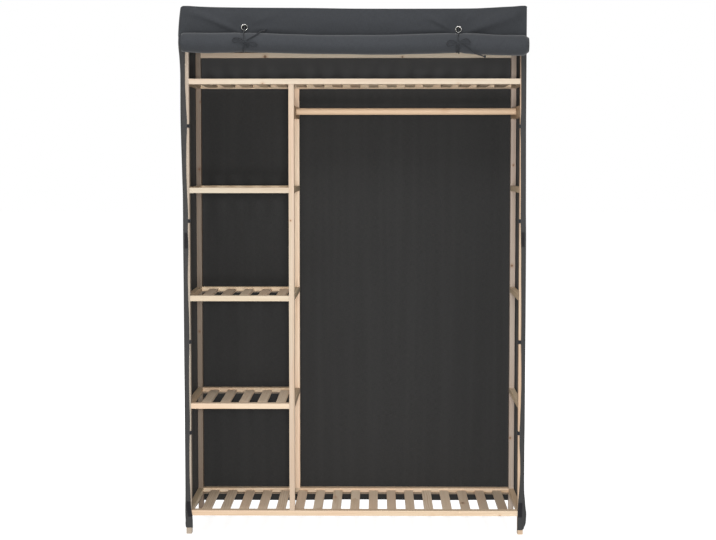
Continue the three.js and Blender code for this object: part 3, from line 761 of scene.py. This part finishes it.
# ---------------------------------------------------------------- back panel
def back_panel():
    xs = nonuniform([(-546.6, 3), (-530, 10), (530, 3), (546.6, 1)])
    ks = nonuniform([(0, 4), (30, 12), (1660, 6), (1694, 1)]) / 1694.0
    X, K = np.meshgrid(xs, ks, indexing="xy")
    bottom = 28.5 + 2.0 * waves(X / 1100.0, 0 * X, 31, 4, (0.7, 0), (3, 1))
    ztop = top_edge(X) - 0.9
    Z = bottom + (ztop - bottom) * K
    inside = smooth((547 - np.abs(X)) / 60.0)
    drop = smooth((1694 - Z) / 700.0)
    fold = 0.5 + 0.5 * waves(X / 1100.0, Z / 1700.0, 37, 7, (2.0, 0.1), (6.0, 0.45))
    fine = waves(X / 1100.0, Z / 1700.0, 38, 7, (6, 0.4), (14, 2.2))
    bulge = inside * (1.0 + 4.6 * fold * (0.3 + 0.7 * drop) + 0.55 * fine)
    for cx, sgn in ((-546, 1), (546, -1)):
        dx, dz = (X - cx) * sgn, (1694 - Z)
        rad = np.hypot(dx, dz)
        angl = np.degrees(np.arctan2(dz, np.maximum(dx, 1e-3)))
        for a0, w, amp, reach in ((24, 3.5, 1.8, 420), (41, 3.5, 2.0, 560), (60, 3.5, 1.5, 640)):
            bulge += amp * np.exp(-((angl - a0) / w) ** 2) * smooth(rad / 60.0) * smooth((reach - rad) / reach)
    Y = 392.3 + bulge + 0.5 * smooth((bottom + 20 - Z) / 1.5)
    pts = np.stack([X, Y, Z], -1)
    o = sheet("back_panel", pts, back_mat, 1.2)
    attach(o, "frame")
    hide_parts("cover_back")
    return o, pts


back, pts_b = back_panel()


# ---------------------------------------------------------------- top panel and the piped seam round it
def top_panel():
    xs = nonuniform([(-547.4, 2.5), (-520, 9), (520, 2.5), (545.7, 1)])
    ys = nonuniform([(-5.6, 2.2), (12, 8), (376, 2.5), (395.2, 1)])
    X, Y = np.meshgrid(xs, ys, indexing="ij")
    edge = top_edge(X)
    along = smooth((np.abs(X) - 400) / 140.0)
    # beside a corner post the cloth rises to the post's top, along the side rails it hangs a little too
    ycorner = np.minimum(np.abs(Y - 2) / 60.0, np.abs(390 - Y) / 60.0)
    side_drop = 4.6 * along * smooth(np.clip(ycorner, 0, 1))
    inner = smooth((516 - np.abs(X)) / 150.0) * smooth((Y - 30) / 90.0) * smooth((360 - Y) / 90.0)
    fan = 0 * X
    for cx, cy in ((-540, 4), (540, 4), (-540, 388), (540, 388)):
        dx, dy = np.abs(X - cx), np.abs(Y - cy)
        rad = np.hypot(dx, dy)
        angl = np.degrees(np.arctan2(dy, np.maximum(dx, 1e-3)))
        for a0, w, amp, reach in ((22, 4, 1.4, 300), (38, 4, 1.8, 360), (58, 5, 1.4, 260)):
            fan = fan + amp * np.exp(-((angl - a0) / w) ** 2) * smooth(rad / 50.0) * smooth((reach - rad) / reach)
    soft = waves(X / 1100.0, Y / 400.0, 53, 7, (1.5, 0.4), (5, 1.6))
    Z = edge - 0.6 - side_drop - inner * (7.5 + 1.6 * soft) + fan * smooth((Y + 6) / 20) * smooth((395 - Y) / 20)
    # corner caps sit on the post tops
    Z = np.maximum(Z, 1684.2 * (1 - inner) + 1600 * inner)
    rim = np.minimum(np.minimum(Y + 5.6, 395.2 - Y), np.minimum(X + 547.4, 545.7 - X) + 0.6)
    Z = Z - 1.6 * (1 - smooth(rim / 4.0))
    o = sheet("top_panel", np.stack([X, Y, Z], -1), top_mat, 1.2)
    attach(o, "frame")
    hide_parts("cover_top")
    return o, xs, ys, Z


top, top_xs, top_ys, top_Z = top_panel()


def seam_line(inset=0.0, lower=0.0):
    """The closed line of the top seam, anticlockwise from the front left corner."""
    a, b, c, d = -547.2 + inset, 545.5 - inset, -5.4 + inset, 395.0 - inset
    r = 3.0
    pts = []
    for (cx, cy), (s, e) in zip(((a + r, c + r), (b - r, c + r), (b - r, d - r), (a + r, d - r)), ((180, 270), (270, 360), (0, 90), (90, 180))):
        for t in np.radians(np.linspace(s, e, 7)):
            pts.append((cx + r * math.cos(t), cy + r * math.sin(t)))
    pts.append(pts[0])
    pts = np.array(pts)
    line = resample(np.column_stack([pts, np.zeros(len(pts))]), 4.0)[:-1]
    i = np.clip(np.searchsorted(top_xs, line[:, 0]) - 1, 0, len(top_xs) - 2)
    j = np.clip(np.searchsorted(top_ys, line[:, 1]) - 1, 0, len(top_ys) - 2)
    tx = np.clip((line[:, 0] - top_xs[i]) / (top_xs[i + 1] - top_xs[i]), 0, 1)
    ty = np.clip((line[:, 1] - top_ys[j]) / (top_ys[j + 1] - top_ys[j]), 0, 1)
    z = (top_Z[i, j] * (1 - tx) * (1 - ty) + top_Z[i + 1, j] * tx * (1 - ty) + top_Z[i, j + 1] * (1 - tx) * ty + top_Z[i + 1, j + 1] * tx * ty)
    line[:, 2] = z - lower
    return line


piping_v, piping_f = tube(seam_line(0.0, -0.2), 1.25, 8, closed=True)
piping = new_object("top_seam_piping", to_m(piping_v), piping_f, top_mat)
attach(piping, "frame")


# ---------------------------------------------------------------- front cloth: hanging band, then the stretch behind the roll that feeds the door
BAND_LOW = 1600.0
FLAP_LOW = 1571.0


def front_cloth():
    ex = [EYELETS["left"][0], EYELETS["right"][0]]
    xs = nonuniform([(-1, 1 / 430), (-0.965, 1 / 110), (-0.66, 1 / 230), (-0.60, 1 / 110), (0.575, 1 / 230), (0.645, 1 / 110), (0.965, 1 / 430), (1.0, 1)])
    band = nonuniform([(0, 2), (6, 4), (40, 3), (86, 4), (94, 1)]) / 94.0  # from the top edge down to BAND_LOW
    w = np.linspace(0, 1, 46)[1:]
    lo, hi = np.zeros_like(w), np.ones_like(w)
    for _ in range(50):
        mid = (lo + hi) / 2
        less = mid * mid * (3 - 2 * mid) < w
        lo, hi = np.where(less, mid, lo), np.where(less, hi, mid)
    t = (lo + hi) / 2
    n_band = len(band)
    U, V = np.meshgrid(xs, np.concatenate([band, 1 + t]), indexing="xy")
    left = curve_of([(0, 551.6), (0.16, 553.6), (0.37, 555.8), (0.58, 557.5), (0.8, 558.8), (1.0, 559.4), (1.15, 557.0), (2.0, 555.0)])
    right = curve_of([(0, 545.0), (1.0, 545.0), (2.0, 546.4)])
    X = np.where(U < 0, U * left(V), U * right(V))
    ztop = top_edge(X) - 0.9
    Z = np.where(V <= 1, ztop + (BAND_LOW - ztop) * V, BAND_LOW - (V - 1) * (BAND_LOW - FLAP_LOW))
    # pulls from the eyelets, where the ties carry the roll, to the top corners and the top edge
    pull = 0 * X
    for x0, z0, x1, z1, amp, wid in (
        (-352, 1609, -538, 1688, 5.8, 9), (-348, 1628, -219, 1686, 2.6, 8), (-348, 1624, -184, 1618, 1.6, 8), (-398, 1664, -440, 1692, 2.2, 5),
        (340, 1603, 532, 1673, 6.0, 10), (318, 1612, 222, 1666, 4.6, 6), (329, 1618, 148, 1618, 1.6, 8), (335, 1634, 398, 1690, 2.0, 6),
    ):
        dx, dz = x1 - x0, z1 - z0
        length = math.hypot(dx, dz)
        a = ((X - x0) * dx + (Z - z0) * dz) / length
        b = ((X - x0) * -dz + (Z - z0) * dx) / length * (1 if dx > 0 else -1)
        width = wid * (0.55 + 0.9 * np.clip(a / length, 0, 1)) * np.where(b > 0, 2.3 if x1 > 500 else 1.3, 1.25)
        pull += amp * np.exp(-((b / width) ** 2)) * smooth(a / 30.0) * smooth((length * 1.08 - a) / 50.0)
    dip = 0 * X
    for x0, z0 in EYELETS.values():
        dip += 1.2 * np.exp(-(((X - x0) ** 2 + (Z - z0) ** 2) / 30.0 ** 2))
    soft = 0.5 + 0.5 * waves(X / 1100.0, Z / 300.0, 71, 7, (1.0, 0.1), (4.0, 0.8))
    slack = smooth((ztop - Z) / 26.0) * smooth((Z - 1601) / 18.0)
    ends = smooth((536 - X) / 30.0) * smooth((X + 545) / 30.0)
    belly = np.sin(np.pi * np.clip((ztop - Z) / (ztop - 1600), 0, 1)) ** 1.2
    near_eyelet = 0 * X
    for x0, z0 in EYELETS.values():
        near_eyelet = np.maximum(near_eyelet, 1 - smooth((np.hypot(X - x0, Z - z0) - 11) / 48.0))
    forward = ends * (slack * (pull + 1.2 * soft) + 3.6 * belly) * (1 - near_eyelet)
    Y = -5.55 - np.maximum(forward, 0)
    # behind the roll the cloth takes up the soft upright folds that show when the door is down
    W = np.where(V <= 1, 0, smooth(V - 1))
    folds = 0.5 + 0.5 * waves(X / 1100.0, W, 77, 7, (2.2, 0.05), (6.5, 0.5))
    free = smooth((512 - np.abs(X)) / 60.0)
    for x0, _ in EYELETS.values():
        free = free * smooth((np.abs(X - x0) - 9) / 70.0)
    # they stay between the roll in front and the shelves' rails behind
    ahead = np.clip(33.4 - np.interp(X, [q[0] for q in ROLL], [q[2] for q in ROLL]), 0.0, 2.8)
    Y = Y + free * (folds * (3.2 + ahead) - ahead) * smooth(W / 0.3) * smooth((1 - W) / 0.22)
    # the band's ends turn back round the corners: far on the left, where the panel bellies out, and a little on the right
    r_l = 11.5
    bend = np.clip((r_l - (X + left(V))) / r_l, 0, 1)
    Y = Y + np.where(V <= 1.12, (1 - np.sqrt(np.maximum(1 - np.minimum(bend, 0.999) ** 2, 0))) * r_l, bend * 1.0) * smooth((1.35 - V) / 0.2)
    bend = np.clip((X - right(V) + 9.0) / 9.6, 0, 0.94)
    Y = Y + (1 - np.sqrt(1 - bend ** 2)) * 2.7
    # the flap's edges hang in front of the hems
    pts = np.stack([X, Y, Z], -1)
    n, m = pts.shape[:2]
    cx = (pts[:-1, :-1] + pts[1:, 1:]) / 2
    keep = np.ones((n - 1, m - 1), bool)
    for x0, z0 in EYELETS.values():
        keep &= ~(((cx[..., 0] - x0) ** 2 + (cx[..., 2] - z0) ** 2) < 8.0 ** 2)
    o = sheet("front_cloth", pts, front_cloth_mat, 1.25, keep=keep)
    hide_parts("front_valance")
    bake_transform(o)
    return o, pts, n_band


front, pts_f, NB = front_cloth()


# ---------------------------------------------------------------- door roll: one long sheet wound round and round
def door_roll():
    xs = nonuniform([(-542.5, 2.2), (-528, 9), (-514, 22), (-380, 5), (-316, 22), (298, 5), (362, 22), (512, 9), (530, 2.2), (547.2, 1)])
    cz = curve_of([(a, b) for a, b, c in ROLL])
    rr = curve_of([(a, c - 0.55) for a, b, c in ROLL])
    turns, per = 13.4, 44
    r0, r1 = 30.0, 4.6
    n = int(turns * per)
    phi = np.linspace(0, turns * 2 * np.pi, n)
    wound = phi / (2 * np.pi)
    wound = np.where(wound < 1, wound ** 4, wound)  # the outermost turn lies full round before the next one starts
    base = r0 + (r1 - r0) * wound / turns
    A, X = np.meshgrid(phi, xs, indexing="ij")
    R = np.broadcast_to(base[:, None], A.shape) / r0 * rr(X)
    end = np.minimum(X + 542.5, 547.2 - X)
    # the ends of the layers are a little uneven and curl in
    lay = A / (2 * np.pi)
    soft_end = 1 - np.where(X < 0, 0.07, 0.17) * (1 - smooth(end / np.where(X < 0, 8.0, 16.0))) ** 1.6
    R = R * soft_end
    R = R * (1 + 0.012 * waves(X / 1100.0, np.cos(A) * 0.18 + 0.2, 91, 7, (1.2, 0.4), (4.5, 1.4)) + 0.006 * waves(X / 1100.0, np.sin(A) * 0.3, 93, 7, (5, 0.5), (12, 2)))
    # near the roll's ends the layers' edges stand a little in and out of each other; the ties' pressing of the roll is
    # in the stations' radii
    Xe = X + (np.sin(lay * 2.1 + 0.6) * 1.6 - 0.35 * lay * 0.6) * (1 - smooth(end / 24.0)) * np.sign(X)
    Y = ROLL_Y + R * np.cos(A)
    Z = cz(X) - R * np.sin(A)
    pts = np.stack([Xe, Y, Z], -1)
    arc = np.concatenate([[0], np.cumsum(np.abs(np.diff(phi)) * (base[1:] + base[:-1]) / 2)]) * 0.001
    uv = np.stack(np.meshgrid(arc, xs * 0.001, indexing="ij"), -1)
    o = sheet("door_roll_cloth", pts, roll_mat, 1.05, uv=uv[..., ::-1])
    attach(o, "door")
    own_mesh(o)
    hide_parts("door_roll")
    print("door cloth", round(float(arc[-1]), 3))
    return o


roll = door_roll()


# ---------------------------------------------------------------- sewn details: stitch rows, tab patches
def band_normal(s, line):
    return np.tile(np.array([[float(s), 0, 0]]), (len(line), 1))


rows = []
for s, pts in ((-1, pts_l), (1, pts_r)):
    # along the inner edge of each front hem
    hem = pts[:, 0].copy()
    hem[:, 0] += s * 3.0
    hem[:, 1] = -3.65
    rows.append(stitches(resample(hem[2:-10], 8), (0, -1, 0)))
    # up both sides of the back seam
    seam = pts[:, -2].copy()
    seam[:, 1] += 0.65
    rows.append(stitches(resample(seam[2:-4], 8), (0, 1, 0)))
    # bottom hem
    k = int(np.argmin(np.abs(pts[:, HN + 20, 2] - pts[0, HN + 20, 2] - 18)))
    line = pts[k, HN + 8:HN + YN - 1].copy()
    line[:, 0] += s * 0.62
    rows.append(stitches(line, (s, 0, 0)))
    # under the top seam
    line = pts[-2, HN + 8:HN + YN - 1].copy()
    line[:, 0] += s * 0.62
    line[:, 2] -= 3.0
    rows.append(stitches(line, (s, 0, 0)))
k = int(np.argmin(np.abs(pts_b[:, 40, 2] - pts_b[0, 40, 2] - 18)))
for line in (pts_b[k, 4:-4].copy(), pts_b[-2, 4:-4].copy()):
    line[:, 1] += 0.62
    rows.append(stitches(line, (0, 1, 0)))
line = pts_f[3, 3:-3].copy()
line[:, 1] -= 0.66
rows.append(stitches(line, (0, -1, 0)))
sv, sf = merged(rows)
thread = new_object("cover_stitching", to_m(sv), sf, thread_mat)
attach(thread, "frame")


def patch(name, s, pts, z0, z1):
    """A hook-and-loop patch sewn on the front hem, with its own boxed stitching."""
    zs = np.linspace(z0, z1, 14)
    z_all = pts[:, 1, 2]
    inner = np.interp(zs, z_all, np.abs(pts[:, 0, 0]))
    outer = np.minimum(np.interp(zs, z_all, np.abs(pts[:, HN, 0])), inner + 15.5)
    u = np.linspace(0, 1, 7)
    X = s * (inner[:, None] + 1.2 + (outer - inner - 2.0)[:, None] * u[None, :])
    Zg = np.broadcast_to(zs[:, None], X.shape).copy()
    Yg = -4.25 - 0.1 * waves(X / 30.0, Zg / 60.0, 5 if s < 0 else 6, 5, (0.3, 0.3), (1, 1))
    o = sheet(name, np.stack([X, Yg, Zg], -1), hook_mat, 0.9)
    ring = np.array([(X[0, 0] + s * 1, -4.75, zs[0] + 1.5), (X[-1, 0] + s * 1, -4.75, zs[-1] - 1.5), (X[-1, -1] - s * 1, -4.75, zs[-1] - 1.5), (X[0, -1] - s * 1, -4.75, zs[0] + 1.5), (X[0, 0] + s * 1, -4.75, zs[0] + 1.5)])
    v, f = stitches(resample(ring, 2), (0, -1, 0), pitch=4, length=2.8, r=0.3, lift=0.05)
    st = new_object(name + "_stitching", to_m(v), f, thread_mat)
    for q in (o, st):
        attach(q, "frame")


patch("tab_patch_left", -1, pts_l, 926, 976)
patch("tab_patch_right", 1, pts_r, 932, 979)
patch("low_patch_left", -1, pts_l, 57, 107)
patch("low_patch_right", 1, pts_r, 57, 105)


# ---------------------------------------------------------------- eyelets: a rolled ring in front, a flat one behind, pressed round the cloth
metal = Nodes("nickel")
metal.bsdf.inputs["Metallic"].default_value = 1.0
mco = metal.add("ShaderNodeTexCoord").outputs["Object"]
scuff = metal.noise(metal.scaled(mco, (700, 700, 700)), 1.0, 3.0, 0.6)
metal.link(metal.mix(metal.remap(scuff, 0.35, 0.75, 0, 0.5), (0.34, 0.335, 0.32), (0.22, 0.215, 0.205)), metal.bsdf.inputs["Base Color"])
metal.link(metal.remap(scuff, 0.3, 0.8, 0.18, 0.34), metal.bsdf.inputs["Roughness"])
metal.link(metal.bump(scuff, 0.00005, 0.4), metal.bsdf.inputs["Normal"])
nickel_mat = metal.mat

for side, (ex, ez) in EYELETS.items():
    prof = []
    # (radius, depth): depth grows towards the front
    for a in np.radians(np.linspace(200, -30, 14)):  # the rolled front ring
        prof.append((9.1 + 1.85 * math.cos(a), 1.1 + 1.7 * math.sin(a)))
    prof += [(10.6, 0.05), (9.4, 0.0), (7.2, 0.0), (7.1, -1.9), (9.6, -2.0), (9.8, -2.5), (6.9, -2.7), (6.4, -2.0)]
    pts = [(r, -d) for r, d in prof]
    v, f = lathe(pts, 56, "y", (ex, -7.0, ez))
    o = new_object(f"eyelet_{side}_ring", to_m(v), f, nickel_mat)
    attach(o, "frame")
    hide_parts(f"eyelet_{side}")


# ---------------------------------------------------------------- straps: loops of tape round the front posts, closed on themselves
def strap(name, s, z, seed, node):
    rng = np.random.RandomState(seed)
    x_in, x_out = 526.5, 544.95
    a, b, c, d = x_in, x_out, -0.75, 28.75
    r = 1.4
    path = []
    for (cx, cy), (st, e) in zip(((a + r, c + r), (b - r, c + r), (b - r, d - r), (a + r, d - r)), ((180, 270), (270, 360), (0, 90), (90, 180))):
        for t in np.radians(np.linspace(st, e, 5)):
            path.append((cx + r * math.cos(t), cy + r * math.sin(t)))
    # start part way down the inner face, go round once and lie over the start
    start = (a, 9.0)
    path = [start, (a, 4.0)] + path + [(a - 0.2, 22.0), (a - 0.9, 15.0), (a - 1.15, 9.0), (a - 1.2, 3.5), (a - 1.5, 0.5)]
    line = resample(np.column_stack([np.array(path), np.zeros(len(path))]), 2.0)
    n = len(line)
    hs = np.linspace(-0.5, 0.5, 5)
    tilt = rng.uniform(-0.035, 0.035)
    pts = np.zeros((n, len(hs), 3))
    q = np.linspace(0, 1, n)
    height = 11.6 + 0.6 * np.sin(7 * q + rng.uniform(0, 6))
    for j, h in enumerate(hs):
        pts[:, j, 0] = s * line[:, 0]
        pts[:, j, 1] = line[:, 1]
        pts[:, j, 2] = z + h * height + tilt * (line[:, 1] - 14) + 0.5 * np.sin(9 * q + seed)
    o = sheet(name, pts, tape_mat, 0.75)
    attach(o, "frame")
    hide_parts(node)


for s, side in ((-1, "left"), (1, "right")):
    for i, z in enumerate((330, 625, 1014, 1316)):
        strap(f"strap_tape_{side}_{i + 1}", s, z, 40 + i + (10 if s > 0 else 0), f"strap_{side}_{i + 1}")


# ---------------------------------------------------------------- hanging rod
def rod():
    n = 64
    prof = [(0.01, -197 + 0.0)]
    x0, x1 = -206.7, 541.2
    xs = [x0, x0, x0 + 1.2] + list(np.linspace(x0 + 4, x1 - 4, 40)) + [x1 - 1.2, x1, x1]
    rs = [0.02, 9.9, 11.0] + [11.0] * 40 + [11.0, 9.9, 0.02]
    th = 2 * np.pi * np.arange(n) / n
    pts = np.zeros((len(xs), n, 3))
    for i, (x, r) in enumerate(zip(xs, rs)):
        r = r + (0.06 * math.sin(x * 0.05) if r > 10.5 else 0)
        pts[i, :, 0] = x
        pts[i, :, 1] = 180 + r * np.cos(th)
        pts[i, :, 2] = 1367 + r * np.sin(th)
    o = new_object("rod_dowel", to_m(pts), grid_faces(len(xs), n, wrap_m=True), wood("rod_wood", "x", 77, dowel=True, pink=0.4))
    o.data.set_sharp_from_angle(angle=math.radians(40))
    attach(o, "frame")
    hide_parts("hanging_rod")


rod()


# ---------------------------------------------------------------- timber: the CAD's own pieces, eased edges and pine
WARM = (0.97, 0.90, 0.82)
# The listed tones are lit and shaded copies of the one pine: each part's colour is scaled to stand in for the light and
# shade it gets, painted shade on the front posts, post_back_left and post_back_right, painted light on
# divider_post_back, upper_rail_back, upper_back_stretcher and the slats; the rails' tones even out smaller differences
# of light. Unlisted parts get a small random tone of their own.
painted_light_and_shade_tones = {
    "post_front_left": (0.60, 0.63, 0.67), "post_front_right": (0.82, 0.75, 0.69), "post_back_left": (0.325, 0.305, 0.30), "post_back_right": (0.63, 0.63, 0.69),
    "divider_post_front": (0.79, 0.78, 0.785), "divider_post_back": (1.30, 1.23, 1.20), "upper_rail_front": (0.87, 0.90, 0.925), "upper_back_stretcher": (1.02, 1.05, 1.07),
    "shelf_2_rail_front": (0.77, 0.80, 0.81), "shelf_3_rail_front": (0.86, 0.87, 0.855), "shelf_4_rail_front": (1.01, 0.98, 0.955), "bottom_rail_front": (1.01, 0.965, 0.91),
    "bottom_rail_back": (1.0, 0.95, 0.89), "upper_slats": (1.18, 1.14, 1.08), "upper_rail_back": (1.38, 1.33, 1.24), "bottom_slats": (1.43, 1.39, 1.38), "shelf_4_slats": (1.44, 1.43, 1.45), "shelf_3_slats": (1.36, 1.33, 1.33), "rod_support_left": (0.84, 0.72, 0.60), "rod_support_right": (0.80, 0.70, 0.60),
}
given_knots = {
    "upper_back_stretcher": [(-308, 361, 1557, 5), (-112, 361, 1570, 3), (158, 361, 1556, 3)],
    "post_back_right": [(533, 361, 847, 4), (536, 361, 1190, 3), (531, 361, 253, 3.5)],
    "post_back_left": [(-534, 361, 1176, 3.5), (-528, 361, 1404, 3), (-537, 361, 620, 3)],
    "upper_rail_front": [(-292, 3, 1449, 4), (330, 5, 1449, 3.5)],
    "divider_post_front": [(-204, -1, 1015, 2.4)],
    "bottom_rail_front": [(470, 2, 60, 3.2)],
}
PINE_AXIS = {}
for n, o in NODES.items():
    if o.hide_render:
        continue
    if "post" in n:
        along = "z"
    elif "rung" in n or n in ("top_rail_left", "top_rail_right") or n.startswith("rod_support") or n.endswith("slats"):
        along = "y"
    else:
        along = "x"
    PINE_AXIS[n] = along
for k, (n, along) in enumerate(sorted(PINE_AXIS.items())):
    o = NODES[n]
    rng = np.random.RandomState(300 + k)
    j = rng.uniform(-0.03, 0.03)
    # listed parts take their painted light and shade tone, the rest a small random tone
    tone = painted_light_and_shade_tones.get(n, (1.0 + j, 0.97 + j, 0.91 + j - abs(rng.uniform(0, 0.04))))
    rack = {"bottom_slats": 77.0, "shelf_4_slats": 425.5, "shelf_3_slats": 773.5, "shelf_2_slats": 1120.0, "upper_slats": 1466.0}.get(n)
    # the lower racks' strips under the slats' ends get painted shade
    mat = wood("pine_" + n, along, 100 + k, tone, given_knots.get(n, ()), slat=(-484.8, 60.6) if rack else None, ledger=rack - 13.9 if rack and n != "upper_slats" else None, pink=rng.uniform(0.45, 0.9))
    o.data.materials.clear()
    o.data.materials.append(mat)
    b = o.modifiers.new("eased_edges", "BEVEL")
    b.width = 0.0009 if not n.endswith("slats") else 0.0006
    b.segments = 2
    b.limit_method = "ANGLE"
    b.angle_limit = math.radians(50)
    b.harden_normals = False


# ---------------------------------------------------------------- floor, backdrop and light
def plain(name, colour, emit, strength):
    m = bpy.data.materials.new(name)
    m.use_nodes = True
    b = m.node_tree.nodes["Principled BSDF"]
    b.inputs["Base Color"].default_value = (*colour, 1)
    b.inputs["Roughness"].default_value = 1.0
    b.inputs["Specular IOR Level"].default_value = 0.0
    b.inputs["Emission Color"].default_value = (*emit, 1)
    b.inputs["Emission Strength"].default_value = strength
    return m


ROOM = 0.33
paper = plain("floor_paper", (0.45, 0.45, 0.45), (1, 1, 1), 0.78)
ray = paper.node_tree.nodes.new("ShaderNodeLightPath")
level = paper.node_tree.nodes.new("ShaderNodeMapRange")
level.inputs["To Min"].default_value = 0.40
level.inputs["To Max"].default_value = 0.88
paper.node_tree.links.new(ray.outputs["Is Camera Ray"], level.inputs["Value"])
paper.node_tree.links.new(level.outputs["Result"], paper.node_tree.nodes["Principled BSDF"].inputs["Emission Strength"])
floor = new_object("floor", [(-30, -30, -0.0002), (30, -30, -0.0002), (30, 30, -0.0002), (-30, 30, -0.0002)], [(0, 1, 2, 3)], paper, False)

world = bpy.data.worlds.new("studio")
scene.world = world
world.use_nodes = True
bg = world.node_tree.nodes["Background"]
bg.inputs["Color"].default_value = (1.0, 1.0, 1.0, 1)
# white paper all round to look at, but a dimmer room as a source of light
ray = world.node_tree.nodes.new("ShaderNodeLightPath")
level = world.node_tree.nodes.new("ShaderNodeMapRange")
level.inputs["To Min"].default_value = ROOM
level.inputs["To Max"].default_value = 1.0
world.node_tree.links.new(ray.outputs["Is Camera Ray"], level.inputs["Value"])
world.node_tree.links.new(level.outputs["Result"], bg.inputs["Strength"])


def area(name, at, target, size, power, colour=(1, 1, 1)):
    d = bpy.data.lights.new(name, "AREA")
    d.shape = "RECTANGLE"
    d.size, d.size_y = size
    d.energy = power
    d.color = colour
    o = bpy.data.objects.new(name, d)
    scene.collection.objects.link(o)
    o.location = at
    o.rotation_euler = (Vector(target) - Vector(at)).to_track_quat("-Z", "Y").to_euler()
    return o


area("front", (0.07, -5.5, 1.24), (0, 0, 1.0), (0.55, 0.55), 140)
area("low", (0.0, -5.2, 0.35), (0, 0, 1.0), (0.7, 0.4), 48)
area("key", (-0.4, -3.6, 4.0), (0, 0, 1.1), (1.6, 1.2), 50)
area("top", (-0.25, -0.8, 2.9), (0, -0.2, 1.62), (1.6, 0.4), 16.5)
area("back_left", (-4.0, 3.6, 2.2), (0, 0, 0.9), (2.4, 2.4), 150)
area("back_right", (4.0, 3.6, 2.2), (0, 0, 0.9), (2.4, 2.4), 150)

scene.view_settings.view_transform = "Standard"
scene.view_settings.look = "None"
scene.view_settings.exposure = 0.0
scene.view_settings.gamma = 1.0
